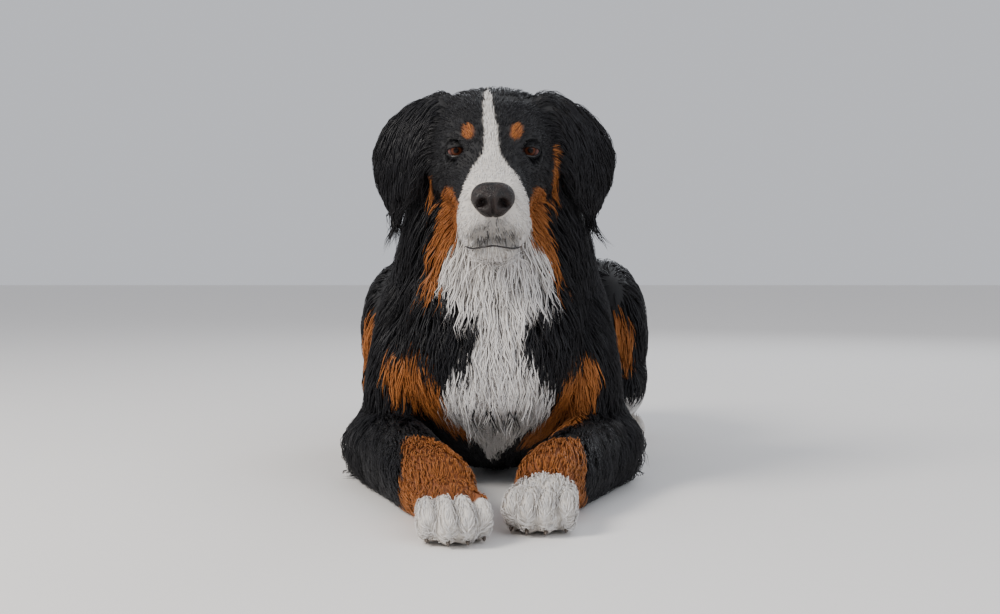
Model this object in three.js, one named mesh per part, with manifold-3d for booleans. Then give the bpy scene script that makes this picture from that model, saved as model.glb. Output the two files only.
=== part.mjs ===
// A life-size Bernese mountain dog that lies on its chest with its head up and its forelegs stretched out.
// Millimetres, +Z up. The dog looks along -Y, and its left side is at +X.
import * as THREE from 'three';
import { mergeVertices } from 'three/addons/utils/BufferGeometryUtils.js';
import Module from 'manifold-3d';

const wasm = await Module();
wasm.setup();

// Driving dimensions of a male that stands 670 mm at the withers
const GAP = 0.5; // air between neighbouring solids
const FINEST = 0.2; // details smaller than this are melted after the cuts
const EYE_LINE = [0, -267, 420]; // the point midway between the two eyes
const HEAD_PITCH = THREE.MathUtils.degToRad(15); // the muzzle dips by this much
const EYE_RADIUS = 12.5;
const EYE_SPREAD = 43; // from the middle plane to an eye's centre
const EYE_SETBACK = -4; // an eye's centre behind the eye line's middle, along the head
const NOSE_WIDTH = 50;
const MUZZLE_HALF = 39;
const SKULL_HALF = 74;
const CHEST_HALF = 128;
const WITHERS_HEIGHT = 358;
const RUMP_SHIFT = 15; // the hips lie this far to the dog's left of the head
const HAUNCH_HALF = 216; // from the hips' middle to the outside of a thigh
const PAW_HALF = 36;
const RIGHT_TOES_Y = -580; // the right forepaw reaches further forward
const LEFT_TOES_Y = -525;

const v3 = (p) => new THREE.Vector3(...p);

function solidFrom(geometry) {
  const bare = geometry.clone();
  bare.deleteAttribute('normal');
  bare.deleteAttribute('uv');
  const merged = mergeVertices(bare, 1e-3);
  return new wasm.Manifold(
    new wasm.Mesh({
      numProp: 3,
      vertProperties: new Float32Array(merged.attributes.position.array),
      triVerts: new Uint32Array(merged.index.array),
    }),
  );
}

function geometryFrom(solid) {
  const mesh = solid.getMesh();
  const geometry = new THREE.BufferGeometry();
  geometry.setAttribute('position', new THREE.BufferAttribute(mesh.vertProperties, 3));
  geometry.setIndex(new THREE.BufferAttribute(mesh.triVerts, 1));
  return geometry;
}

const join = (solids) => wasm.Manifold.union(solids);

function largestOf(solid) {
  const bodies = solid.decompose();
  bodies.sort((a, b) => b.volume() - a.volume());
  return bodies[0];
}

// A closed skin over rings of points that run from one end to the other
function skinOver(rings, first, last) {
  const sides = rings[0].length;
  const points = [first, ...rings.flat(), last].flatMap((p) => p.toArray());
  const faces = [];
  const at = (ring, k) => 1 + ring * sides + (k % sides);
  for (let k = 0; k < sides; k++) {
    faces.push(0, at(0, k + 1), at(0, k));
    for (let r = 0; r + 1 < rings.length; r++) {
      faces.push(at(r, k), at(r, k + 1), at(r + 1, k + 1), at(r, k), at(r + 1, k + 1), at(r + 1, k));
    }
    faces.push(1 + rings.length * sides, at(rings.length - 1, k), at(rings.length - 1, k + 1));
  }
  const geometry = new THREE.BufferGeometry();
  geometry.setAttribute('position', new THREE.Float32BufferAttribute(points, 3));
  geometry.setIndex(faces);
  return geometry;
}

// A rounded body through stations of [centre, half width, reach up, reach down]. Its ends close over the
// cap lengths, side is the direction of its width, square above 2 flattens its sides, and along, where
// given, keeps all rings square to one direction, so that they can't cross in a thick bend.
function loft(stations, { rings, sides, caps = [30, 30], side = [1, 0, 0], along, square = 2, grow = 0 }) {
  const line = new THREE.CatmullRomCurve3(stations.map((s) => v3(s[0])), false, 'catmullrom', 0.5);
  const sizes = new THREE.CatmullRomCurve3(stations.map((s) => v3([s[1], s[2], s[3]])), false, 'catmullrom', 0.5);
  const length = line.getLength();
  const made = [];
  for (let r = 1; r <= rings; r++) {
    const t = (1 - Math.cos((Math.PI * r) / (rings + 1))) / 2;
    const tangent = along ? v3(along) : line.getTangent(t);
    const endward = Math.min(1, (t * length) / caps[0]) - Math.min(1, ((1 - t) * length) / caps[1]);
    const centre = line.getPoint(t).addScaledVector(tangent, grow * endward);
    const across = v3(side).addScaledVector(tangent, -v3(side).dot(tangent)).normalize();
    const upward = new THREE.Vector3().crossVectors(across, tangent).negate();
    const size = sizes.getPoint(t);
    const share = Math.min(1, (t * length) / caps[0], ((1 - t) * length) / caps[1]);
    const round = Math.sqrt(1 - (1 - share) ** 2);
    made.push(
      Array.from({ length: sides }, (_, k) => {
        const angle = (2 * Math.PI * k) / sides;
        const c = Math.sign(Math.cos(angle)) * Math.abs(Math.cos(angle)) ** (2 / square);
        const s = Math.sign(Math.sin(angle)) * Math.abs(Math.sin(angle)) ** (2 / square);
        const tall = s > 0 ? size.y : size.z;
        return centre
          .clone()
          .addScaledVector(across, c * (size.x * round + grow))
          .addScaledVector(upward, s * (tall * round + grow));
      }),
    );
  }
  const ends = [0, 1].map((t) =>
    line.getPoint(t).addScaledVector(along ? v3(along) : line.getTangent(t), (t ? 1 : -1) * grow),
  );
  const solid = solidFrom(skinOver(made, ...ends));
  return solid.volume() < 0 ? solidFrom(skinOver(made.map((ring) => ring.slice().reverse()), ...ends)) : solid;
}

// An ellipsoid with its three half sizes, turned about its centre by Euler angles in degrees
function mass(centre, radii, { turn = [0, 0, 0], detail = 8, grow = 0 } = {}) {
  const geometry = new THREE.SphereGeometry(1, detail, Math.round(detail * 0.7));
  geometry.scale(radii[0] + grow, radii[1] + grow, radii[2] + grow);
  const angles = turn.map(THREE.MathUtils.degToRad);
  geometry.applyMatrix4(new THREE.Matrix4().makeRotationFromEuler(new THREE.Euler(...angles)));
  geometry.translate(...centre);
  return solidFrom(geometry);
}

const mirrored = (p, sign, shift = 0) => [shift + sign * p[0], p[1], p[2]];
const aboveFloor = (solid) => solid.trimByPlane([0, 0, 1], 0);

// Head parts are laid out level, about the eye line, and then dip by the pitch
const headMatrix = new THREE.Matrix4()
  .makeTranslation(...EYE_LINE)
  .multiply(new THREE.Matrix4().makeRotationX(HEAD_PITCH));
const inHead = (p) => v3(p).applyMatrix4(headMatrix).toArray();
const headTurn = [15, 0, 0];

function headLoft(stations, options) {
  return loft(stations.map(([y, z, wide, up, down]) => [inHead([0, y, z]), wide, up, down]), options);
}

function skull(grow) {
  // stations run from the muzzle's front to the occiput: forward place, height, half width, up, down
  const stations = [
    [-123, -50, MUZZLE_HALF - 9, 26, 33],
    [-105, -50, MUZZLE_HALF - 1, 36, 42],
    [-75, -48, MUZZLE_HALF + 1, 40, 44],
    [-45, -44, MUZZLE_HALF + 5, 42, 47],
    [-22, -34, 56, 42, 52],
    [5, -22, SKULL_HALF - 8, 57, 56],
    [40, -10, SKULL_HALF + 1, 80, 58],
    [75, 0, SKULL_HALF + 2, 79, 56],
    [105, 5, 68, 70, 52],
    [132, 5, 50, 54, 44],
    [146, 5, 34, 36, 34],
  ];
  return headLoft(stations, { rings: 13, sides: 18, caps: [16, 22], square: 2.35, grow });
}

function cheeks(grow) {
  return [-1, 1].flatMap((sign) => [
    mass(inHead([sign * 50, 28, -32]), [28, 48, 36], { turn: headTurn, grow }),
    mass(inHead([sign * 24, -88, -62]), [19, 36, 31], { turn: headTurn, grow }), // flews
    mass(inHead([sign * 40, 0, 21]), [24, 21, 11], { turn: [15, sign * 18, 0], grow }), // brow ridge
  ]);
}

function jaw(grow) {
  const stations = [
    [inHead([0, -112, -97]), 18, 10, 10],
    [inHead([0, -95, -98]), 28, 14, 13],
    [inHead([0, -50, -96]), 34, 18, 18],
    [inHead([0, 10, -84]), 46, 30, 30],
    [inHead([0, 50, -72]), 44, 26, 28],
  ];
  return loft(stations, { rings: 8, sides: 14, caps: [14, 20], grow });
}

// The lips' lower edge: a thin slot between the flews and the chin that ends under each cheek
function mouthLine() {
  const rim = [-1, -0.8, -0.55, -0.25, 0, 0.25, 0.55, 0.8, 1].map((u) => {
    const forward = -114 + 62 * u * u;
    const drop = -84 - 9 * Math.min(1, Math.abs(u) * 2.4) + 7 * Math.abs(u) ** 3;
    return inHead([u * 50, forward, drop]);
  });
  return loft(rim.map((p) => [p, 9, 1.1, 1.1]), { rings: 11, sides: 5, caps: [3, 3], side: [0, 1, 0] });
}

const eyeCentre = (sign) => inHead([sign * EYE_SPREAD, EYE_SETBACK, 0]);

// Each eye looks out of a bulge of lid through an almond-shaped opening that droops at its outer end
const lidBulge = (sign, grow) =>
  mass(inHead([sign * (EYE_SPREAD + 1), EYE_SETBACK, 0]), [16.5, EYE_RADIUS + 3.2, 14], {
    turn: [15, 0, sign * 12],
    detail: 10,
    grow,
  });

function eyeOpening(sign) {
  const slot = [
    [-12.5, -1, -1.5, 1.2, 1.2],
    [-7, -4, -0.6, 3.6, 3.6],
    [0, -6, 0, 5, 5.4],
    [6, -4, 0.4, 4, 5],
    [12, 1, -0.4, 1.4, 1.8],
  ].map(([x, y, z, up, down]) => [
    inHead([sign * (EYE_SPREAD + x), EYE_SETBACK - 8 + y, z]), 10, up, down,
  ]);
  return loft(slot, { rings: 8, sides: 10, caps: [2, 2], side: [0, 1, 0] });
}

function nose(grow = 0) {
  const wings = [-1, 1].map((sign) =>
    mass(inHead([sign * 13.5, -124, -35]), [NOSE_WIDTH / 2 - 13.5, 15, 14], { turn: headTurn, grow }),
  );
  const bridge = mass(inHead([0, -122, -30]), [17, 17, 15], { turn: headTurn, detail: 10, grow });
  const base = mass(inHead([0, -122, -45]), [12, 14, 9], { turn: headTurn, grow });
  return join([...wings, bridge, base]);
}

function nostrils() {
  return join(
    [-1, 1].flatMap((sign) => [
      mass(inHead([sign * 11.5, -138, -34]), [4.6, 8, 4.2], { turn: headTurn, detail: 7 }),
      mass(inHead([sign * 19, -130, -38]), [6, 7, 1.8], { turn: [15, sign * -25, 0], detail: 6 }),
    ]),
  );
}

const EAR_ROOT = [68, -196, 476];

// A hanging, triangular ear leaf with a cup inside, that stands away from the cheek
function ear(sign, grow = 0) {
  const stations = [
    [[60, -196, 484], 14, 8, 8],
    [[80, -204, 472], 25, 9, 9],
    [[100, -208, 446], 40, 8, 7],
    [[112, -207, 414], 45, 8, 6],
    [[119, -203, 384], 35, 7, 5],
    [[121, -198, 360], 19, 5, 4],
    [[119, -195, 346], 6, 3, 3],
  ].map(([p, wide, out, inside]) => [mirrored(p, sign), wide, out, inside]);
  return loft(stations, { rings: 7, sides: 11, caps: [10, 14], side: [sign * 0.8, 0.6, 0], square: 2.4, grow });
}

function earCup(sign) {
  const stations = [
    [[92, -197, 440], 12, 5, 5],
    [[104, -199, 414], 20, 5, 5],
    [[111, -197, 386], 12, 4, 4],
  ].map(([p, ...sizes]) => [mirrored(p, sign), ...sizes]);
  return loft(stations, { rings: 6, sides: 8, caps: [8, 8], side: [sign * 0.8, 0.6, 0] });
}

function head(grow = 0) {
  return join([skull(grow), ...cheeks(grow), jaw(grow), lidBulge(-1, grow), lidBulge(1, grow)]);
}

function neck(grow = 0) {
  const stations = [
    [[0, -168, 440], 80, 62, 56],
    [[0, -158, 400], 97, 84, 76],
    [[0, -145, 345], 108, 108, 104],
    [[2, -125, 290], 122, 132, 122],
    [[2, -105, 240], 124, 140, 130],
  ];
  return loft(stations, { rings: 8, sides: 18, caps: [30, 30], along: [0, 0, -1], grow });
}

function torso(grow = 0) {
  const stations = [
    [[0, -262, 190], 72, 66, 72],
    [[0, -225, 182], 100, 100, 132],
    [[0, -160, 178], 118, 140, 172],
    [[2, -70, 180], CHEST_HALF, 166, 176],
    [[4, 20, 184], CHEST_HALF + 8, WITHERS_HEIGHT - 184, 182],
    [[8, 120, 184], CHEST_HALF + 10, 164, 182],
    [[12, 220, 184], CHEST_HALF + 4, 152, 182],
    [[RUMP_SHIFT, 310, 184], 120, 132, 176],
    [[RUMP_SHIFT, 375, 172], 96, 104, 150],
    [[RUMP_SHIFT, 418, 165], 60, 66, 100],
  ];
  return loft(stations, { rings: 12, sides: 19, caps: [34, 40], square: 2.2, grow });
}

function upperArm(sign, grow = 0) {
  const stations = [
    [[92, -40, 250], 44, 60, 60],
    [[106, -110, 205], 48, 70, 66],
    [[122, -165, 140], 50, 62, 58],
    [[136, -160, 82], 46, 54, 54],
    [[144, -138, 48], 42, 46, 44],
  ].map(([p, ...sizes]) => [mirrored(p, sign), ...sizes]);
  return loft(stations, { rings: 8, sides: 14, caps: [30, 26], along: [0, 0, -1], grow });
}

const wrist = (sign) => (sign < 0 ? [-58, -436, 44] : [66, -394, 44]);
const toesTip = (sign) => (sign < 0 ? [-32, RIGHT_TOES_Y, 15] : [44, LEFT_TOES_Y, 15]);

function forearm(sign, grow = 0) {
  const knee = wrist(sign);
  const elbow = [sign * 142, -165, 50];
  const between = (t, z) => [elbow[0] + t * (knee[0] - elbow[0]), elbow[1] + t * (knee[1] - elbow[1]), z];
  const stations = [
    [[sign * 144, -120, 46], 34, 34, 44],
    [elbow, 44, 44, 52],
    [between(0.3, 50), 43, 42, 52],
    [between(0.65, 46), 37, 36, 46],
    [knee, 34, 33, 44],
    [between(1.14, 36), 32, 28, 36],
  ];
  return loft(stations, { rings: 8, sides: 14, caps: [22, 16], grow });
}

const SOLE = 4; // the feet are laid out this far into the floor, which then cuts them flat

// Four toes with claws spread from the end of the foot to its tip
function foot(start, tip, size, grow) {
  const along = v3(tip).sub(v3(start)).setZ(0);
  const reach = along.length();
  along.normalize();
  const across = new THREE.Vector3(-along.y, along.x, 0);
  const spot = (f, s, z) => {
    const p = v3(start).addScaledVector(along, f * reach).addScaledVector(across, s * size);
    return [p.x, p.y, z];
  };
  const side = across.toArray();
  const instep = [
    [spot(-0.05, 0, start[2]), size * 0.76, 24, start[2] - 2],
    [spot(0.35, 0, 36), size * 0.92, 24, 36 + SOLE],
    [spot(0.62, 0, 30), size * 0.98, 23, 30 + SOLE],
    [spot(0.84, 0, 24), size * 0.9, 18, 24 + SOLE],
  ];
  const parts = [loft(instep, { rings: 5, sides: 12, caps: [10, 22], side, grow })];
  for (const s of [-0.76, -0.26, 0.26, 0.76]) {
    const end = Math.abs(s) > 0.5 ? 0.88 : 1;
    const toe = [
      [spot(end - 0.34, s * 0.94, 36), size * 0.3, 16, 24],
      [spot(end - 0.18, s * 1.0, 31), size * 0.34, 18, 31 + SOLE],
      [spot(end - 0.05, s * 1.04, 24), size * 0.33, 16, 24 + SOLE],
      [spot(end, s * 1.04, 18), size * 0.26, 12, 16],
    ];
    const claw = [
      [spot(end - 12 / reach, s * 1.05, 15), 3.8, 4.2, 4.2],
      [spot(end + 4 / reach, s * 1.06, 9), 3.2, 3.6, 3.6],
      [spot(end + 9 / reach, s * 1.06, 4.5), 1.4, 1.6, 1.6],
    ];
    parts.push(loft(toe, { rings: 4, sides: 7, caps: [8, 13], side, grow }));
    parts.push(loft(claw, { rings: 2, sides: 5, caps: [2, 5], side, grow }));
  }
  return join(parts);
}

function forePaw(sign, grow = 0) {
  const knee = wrist(sign);
  const end = toesTip(sign);
  return foot([knee[0], knee[1] + 4, 42], end, PAW_HALF, grow);
}

function thigh(sign, grow = 0) {
  const out = HAUNCH_HALF;
  const stations = [
    [[out * 0.42, 350, 196], 52, 80, 78],
    [[out * 0.58, 290, 182], 66, 104, 112],
    [[out * 0.7, 215, 176], 62, 108, 122],
    [[out * 0.76, 150, 172], 46, 92, 96],
    [[out * 0.78, 112, 168], 30, 60, 62],
  ].map(([p, ...sizes]) => [mirrored(p, sign, RUMP_SHIFT), ...sizes]);
  return loft(stations, { rings: 8, sides: 14, caps: [30, 26], grow });
}

// The lower hind leg is folded: it runs back from the stifle to the hock, under the thigh
function shank(sign, grow = 0) {
  const stations = [
    [[158, 126, 128], 44, 52, 62],
    [[164, 158, 104], 46, 56, 76],
    [[160, 235, 84], 42, 48, 66],
    [[150, 312, 66], 34, 38, 50],
    [[144, 366, 56], 26, 28, 36],
  ].map(([p, ...sizes]) => [mirrored(p, sign, RUMP_SHIFT), ...sizes]);
  return loft(stations, { rings: 6, sides: 12, caps: [26, 22], grow });
}

const hock = (sign) => [RUMP_SHIFT + sign * 152, 372, 44];
const hindToes = (sign) => (sign < 0 ? [-138, 186, 20] : [204, 180, 20]);

function hindFoot(sign, grow = 0) {
  const heel = hock(sign);
  const end = hindToes(sign);
  const mid = (t, z) => [heel[0] + t * (end[0] - heel[0]), heel[1] + t * (end[1] - heel[1]), z];
  const cannon = loft(
    [
      [[heel[0], heel[1] + 28, 48], 24, 26, 40],
      [heel, 30, 30, 50],
      [mid(0.25, 38), 27, 26, 44],
      [mid(0.5, 34), 28, 24, 40],
      [mid(0.68, 32), 29, 22, 34],
    ],
    { rings: 5, sides: 10, caps: [18, 12], grow },
  );
  const start = mid(0.56, 34);
  return join([cannon, foot(start, end, PAW_HALF * 0.86, grow)]);
}

const TAIL_LINE = [
  [RUMP_SHIFT, 392, 196],
  [RUMP_SHIFT, 448, 138],
  [12, 498, 66],
  [2, 560, 46],
  [-16, 630, 42],
  [-44, 694, 40],
  [-76, 742, 36],
];

const TAIL_SPLIT = 530; // the tail is in two where it comes to lie on the floor

function tail(grow = 0) {
  const thick = [34, 38, 42, 44, 42, 32, 18];
  const stations = TAIL_LINE.map((p, i) => [p, thick[i], thick[i] * 0.85, Math.min(thick[i], p[2] + 6)]);
  return loft(stations, { rings: 9, sides: 11, caps: [20, 26], grow });
}

const builders = {
  head,
  nose,
  neck,
  torso,
  tail_root: (grow) => tail(grow).trimByPlane([0, -1, 0], -TAIL_SPLIT - grow),
  tail_tip: (grow) => tail(grow).trimByPlane([0, 1, 0], TAIL_SPLIT + GAP - grow),
};
for (const [side, sign] of [['left', 1], ['right', -1]]) {
  builders[side + '_ear'] = (grow) => ear(sign, grow);
  builders[side + '_upper_arm'] = (grow) => upperArm(sign, grow);
  builders[side + '_forearm'] = (grow) => forearm(sign, grow);
  builders[side + '_front_paw'] = (grow) => forePaw(sign, grow);
  builders[side + '_thigh'] = (grow) => thigh(sign, grow);
  builders[side + '_shank'] = (grow) => shank(sign, grow);
  builders[side + '_hind_foot'] = (grow) => hindFoot(sign, grow);
}

// How far the coat stands out of each form
const DEPTH = {
  head: 4,
  ear: 3,
  neck: 14,
  torso: 12,
  upper_arm: 11,
  forearm: 7,
  thigh: 12,
  shank: 8,
  tail_root: 14,
  tail_tip: 12,
};
const LOCKED = ['neck', 'torso', 'upper_arm', 'thigh']; // these carry locks over a core
const kindOf = (node) => node.replace(/^(left|right)_/, '');
const coreDepth = (node) => (DEPTH[kindOf(node)] ?? 0) * (LOCKED.includes(kindOf(node)) ? 0.4 : 1);
const formOf = (node, grow = 0) => builders[node](coreDepth(node) + grow);
const flesh = Object.fromEntries(Object.keys(builders).map((node) => [node, formOf(node)]));

// Pseudo-random numbers from 0 to 1 that repeat with their seed
function dice(seed) {
  let state = seed;
  return () => {
    state = (state * 1664525 + 1013904223) % 4294967296;
    return state / 4294967296;
  };
}

const probes = Object.entries(flesh).map(([name, solid]) => {
  const geometry = geometryFrom(solid);
  const mesh = new THREE.Mesh(geometry, new THREE.MeshBasicMaterial({ side: THREE.DoubleSide }));
  mesh.name = name;
  return mesh;
});
const caster = new THREE.Raycaster();

// The outermost flesh on the way in from outside, with its node, place and outward normal
function outermost(towards, outward, reach = 300) {
  caster.set(towards.clone().addScaledVector(outward, reach), outward.clone().negate());
  caster.far = reach + 60;
  const hit = caster.intersectObjects(probes, false)[0];
  if (!hit) return null;
  const normal = hit.face.normal.clone();
  return { node: hit.object.name, point: hit.point, normal: normal.dot(outward) < 0 ? normal.negate() : normal };
}

const LOCK_SINK = 10; // a lock's root goes this deep under the flesh
const LOCK_STEPS = 4;

// The path of a lock from its root on a node, along the flesh in the direction that the hair lies
function combed(node, from, outward, lie, length, lift, roll) {
  const root = outermost(from, outward);
  if (!root || root.node !== node) return null;
  const path = [root.point.clone().addScaledVector(root.normal, -LOCK_SINK)];
  const outwards = [root.normal.clone()];
  const sway = (roll() - 0.5) * 0.5;
  let place = root.point.clone();
  let normal = root.normal.clone();
  for (let k = 1; k <= LOCK_STEPS; k++) {
    const along = lie.clone().addScaledVector(normal, -lie.dot(normal)).normalize();
    const sideways = new THREE.Vector3().crossVectors(normal, along);
    place.addScaledVector(along.addScaledVector(sideways, sway * Math.sin(k * 1.7)).normalize(), length / LOCK_STEPS);
    const under = outermost(place, normal, 60);
    if (under && under.point.distanceTo(place) < 30) {
      place = under.point.clone();
      normal = normal.lerp(under.normal, 0.6).normalize();
    }
    const raised = place.clone().addScaledVector(normal, lift * Math.min(1, 0.55 + 0.3 * k));
    raised.z = Math.max(raised.z, 8);
    path.push(raised);
    outwards.push(normal.clone());
  }
  return { path, outwards };
}

// A flat, tapered lock with three long faces along its path
function lock({ path, outwards, wide, thick }, grow) {
  const line = new THREE.CatmullRomCurve3(path);
  const rings = [];
  for (let k = 0; k < LOCK_STEPS; k++) {
    const t = k / LOCK_STEPS;
    const across = new THREE.Vector3().crossVectors(line.getTangent(t), outwards[k]).normalize();
    const upward = new THREE.Vector3().crossVectors(across, line.getTangent(t)).normalize();
    const half = (wide / 2) * [0.7, 1, 0.95, 0.62][k] + grow;
    const tall = thick * (1 - 0.6 * t) + grow * 2;
    const middle = line.getPoint(t);
    rings.push([
      middle.clone().addScaledVector(across, half).addScaledVector(upward, -tall * 0.4),
      middle.clone().addScaledVector(upward, tall * 0.6),
      middle.clone().addScaledVector(across, -half).addScaledVector(upward, -tall * 0.4),
    ]);
  }
  const root = line.getPoint(0).addScaledVector(line.getTangent(0), -2 - grow);
  const tip = line.getPoint(1).addScaledVector(line.getTangent(1), grow * 3);
  const solid = solidFrom(skinOver(rings, root, tip));
  if (solid.volume() > 0) return solid;
  return solidFrom(skinOver(rings.map((ring) => ring.slice().reverse()), root, tip));
}

const locks = Object.fromEntries(Object.keys(flesh).map((node) => [node, []]));

// Rows of locks along an axis. Their angles, in degrees, turn from the direction zero towards aside.
function lockRows(node, { axis, zero, aside, rows, angles, lie, long, wide, thick = 9, lift = 9, seed }) {
  const roll = dice(seed);
  const line = new THREE.CatmullRomCurve3(axis.map(v3));
  for (let r = 0; r < rows; r++) {
    angles.forEach((angle, k) => {
      const step = (angles[k + 1] ?? angle) - angle;
      const turned = THREE.MathUtils.degToRad(angle + (r % 2 ? step / 2 : 0) + (roll() - 0.5) * 8);
      const outward = v3(zero).multiplyScalar(Math.cos(turned)).addScaledVector(v3(aside), Math.sin(turned));
      const from = line.getPoint((r + 0.35 + 0.3 * roll()) / rows);
      const length = long * (0.85 + 0.3 * roll());
      const found = combed(node, from, outward.normalize(), lie(outward).normalize(), length, lift, roll);
      if (found) locks[node].push({ ...found, wide: wide * (0.9 + 0.25 * roll()), thick });
    });
  }
}

const UP = [0, 0, 1];
const LEFT = [1, 0, 0];
const AHEAD = [0, -1, 0];
lockRows('torso', {
  axis: [[2, -30, 190], [8, 120, 180], [RUMP_SHIFT, 385, 175]],
  zero: UP,
  aside: LEFT,
  rows: 4,
  angles: [-96, -60, -24, 12, 48, 84],
  lie: (out) => v3([out.x * 0.2, 0.9, -0.15 - 0.75 * Math.abs(out.x)]),
  long: 150,
  wide: 74,
  seed: 11,
});
lockRows('torso', {
  axis: [[4, -190, 215], [4, -190, 60]],
  zero: AHEAD,
  aside: LEFT,
  rows: 2,
  angles: [-42, -14, 14, 42],
  lie: (out) => v3([out.x * 0.1, -0.05, -1]),
  long: 105,
  wide: 46,
  seed: 12,
});
lockRows('neck', {
  axis: [[0, -160, 425], [0, -120, 255]],
  zero: AHEAD,
  aside: LEFT,
  rows: 2,
  angles: [-155, -112, -76, -44, -15, 15, 44, 76, 112, 155],
  lie: (out) => v3([out.x * 0.3, out.y > 0 ? 0.7 : -0.1, -1]),
  long: 125,
  wide: 56,
  lift: 10,
  seed: 13,
});
for (const [side, sign] of [['left', 1], ['right', -1]]) {
  lockRows(side + '_upper_arm', {
    axis: [[sign * 100, -80, 250], [sign * 134, -150, 90]],
    zero: [sign, 0, 0],
    aside: AHEAD,
    rows: 2,
    angles: [-30, 24],
    lie: (out) => v3([out.x * 0.1, 0.3, -1]),
    long: 90,
    wide: 48,
    seed: 16,
  });
  lockRows(side + '_thigh', {
    axis: [[RUMP_SHIFT + sign * 70, 310, 185], [RUMP_SHIFT + sign * 90, 150, 175]],
    zero: [sign, 0, 0],
    aside: UP,
    rows: 2,
    angles: [-26, 14, 54],
    lie: (out) => v3([out.x * 0.2, 0.4, -1]),
    long: 115,
    wide: 60,
    seed: 17,
  });
}

const coated = (node, grow = 0) => join([formOf(node, grow), ...locks[node].map((l) => lock(l, grow))]);

const BLACK = { color: 0x16130f, roughness: 0.75, metalness: 0 };
const RUST = { color: 0x8a4a1d, roughness: 0.8, metalness: 0 };
const WHITE = { color: 0xe6e0d8, roughness: 0.85, metalness: 0 };
const LEATHER = { color: 0x2a2223, roughness: 0.4, metalness: 0 };
const EYE = { color: 0x3a1c10, roughness: 0.08, metalness: 0 };

const dog = new THREE.Group();
const taken = []; // solids already placed, each a little grown, which later ones are cut clear of

const placed = [];

// Whether two solids' bounding boxes leave air between them
function apart(a, b) {
  const [p, q] = [a.boundingBox(), b.boundingBox()];
  return [0, 1, 2].some((i) => p.max[i] < q.min[i] || q.max[i] < p.min[i]);
}

function place(name, solid, finish, pivot, grown) {
  let cut = solid;
  for (const other of taken) if (!apart(cut, other)) cut = cut.subtract(other);
  for (const other of placed) {
    if (!apart(cut, other)) cut = cut.subtract(other);
  }
  let body = largestOf(aboveFloor(cut).simplify(FINEST));
  for (const other of placed) {
    if (!apart(body, other) && body.intersect(other).volume() > 0) {
      body = largestOf(body.subtract(other).simplify(FINEST / 200));
    }
  }
  const geometry = geometryFrom(body);
  geometry.translate(-pivot[0], -pivot[1], -pivot[2]);
  const mesh = new THREE.Mesh(geometry, new THREE.MeshStandardMaterial(finish));
  mesh.name = name;
  mesh.position.set(...pivot);
  dog.add(mesh);
  taken.push(grown);
  placed.push(body);
  return body;
}

for (const [side, sign] of [['left', 1], ['right', -1]]) {
  const centre = eyeCentre(sign);
  const ball = (grow) => mass(centre, [EYE_RADIUS, EYE_RADIUS, EYE_RADIUS], { detail: 11, grow });
  place(side + '_eye', ball(0), EYE, centre, ball(GAP));
}
const form = (node, finish, pivot) => place(node, coated(node), finish, pivot, coated(node, GAP));
place('nose', nose().subtract(nostrils()), LEATHER, inHead([0, -122, -36]), nose(GAP));
const openings = join([mouthLine(), eyeOpening(1), eyeOpening(-1)]);
place('head', flesh.head.subtract(openings), BLACK, inHead([0, 0, 0]), formOf('head', GAP));
for (const [side, sign] of [['left', 1], ['right', -1]]) {
  const leaf = side + '_ear';
  place(leaf, flesh[leaf].subtract(earCup(sign)), BLACK, mirrored(EAR_ROOT, sign), formOf(leaf, GAP));
}
form('neck', BLACK, [0, -150, 400]);
for (const [side, sign] of [['left', 1], ['right', -1]]) {
  form(side + '_front_paw', WHITE, wrist(sign));
  form(side + '_forearm', RUST, [sign * 142, -165, 50]);
  form(side + '_hind_foot', WHITE, hock(sign));
  form(side + '_upper_arm', BLACK, [sign * 92, -40, 250]);
  form(side + '_thigh', BLACK, [RUMP_SHIFT + sign * 80, 330, 190]);
  form(side + '_shank', BLACK, [RUMP_SHIFT + sign * 158, 126, 128]);
}
form('tail_tip', BLACK, TAIL_LINE[3]);
form('tail_root', BLACK, TAIL_LINE[0]);
form('torso', BLACK, [0, 0, 184]);

// The part's origin is the middle of its footprint, on the floor
const extent = new THREE.Box3().setFromObject(dog);
dog.position.set(-(extent.min.x + extent.max.x) / 2, -(extent.min.y + extent.max.y) / 2, -extent.min.z);

export default dog;
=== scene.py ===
# %% [markdown]
# # A life-size Bernese mountain dog, lying down
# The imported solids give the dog's place and size. This script dresses them: one skin over all the
# flesh, a coat of solid tufts that lie as the hair does, wet eyes, a leathery nose, lips and claws.
# Sizes are in millimetres in the drawing frame of the solids: the dog looks along -Y and its left side
# is at +X. They become metres, in the frame's own place, when a mesh is finished.

import math

import bpy
import numpy as np
from mathutils import Euler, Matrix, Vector
from mathutils.bvhtree import BVHTree
from mathutils.kdtree import KDTree


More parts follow.
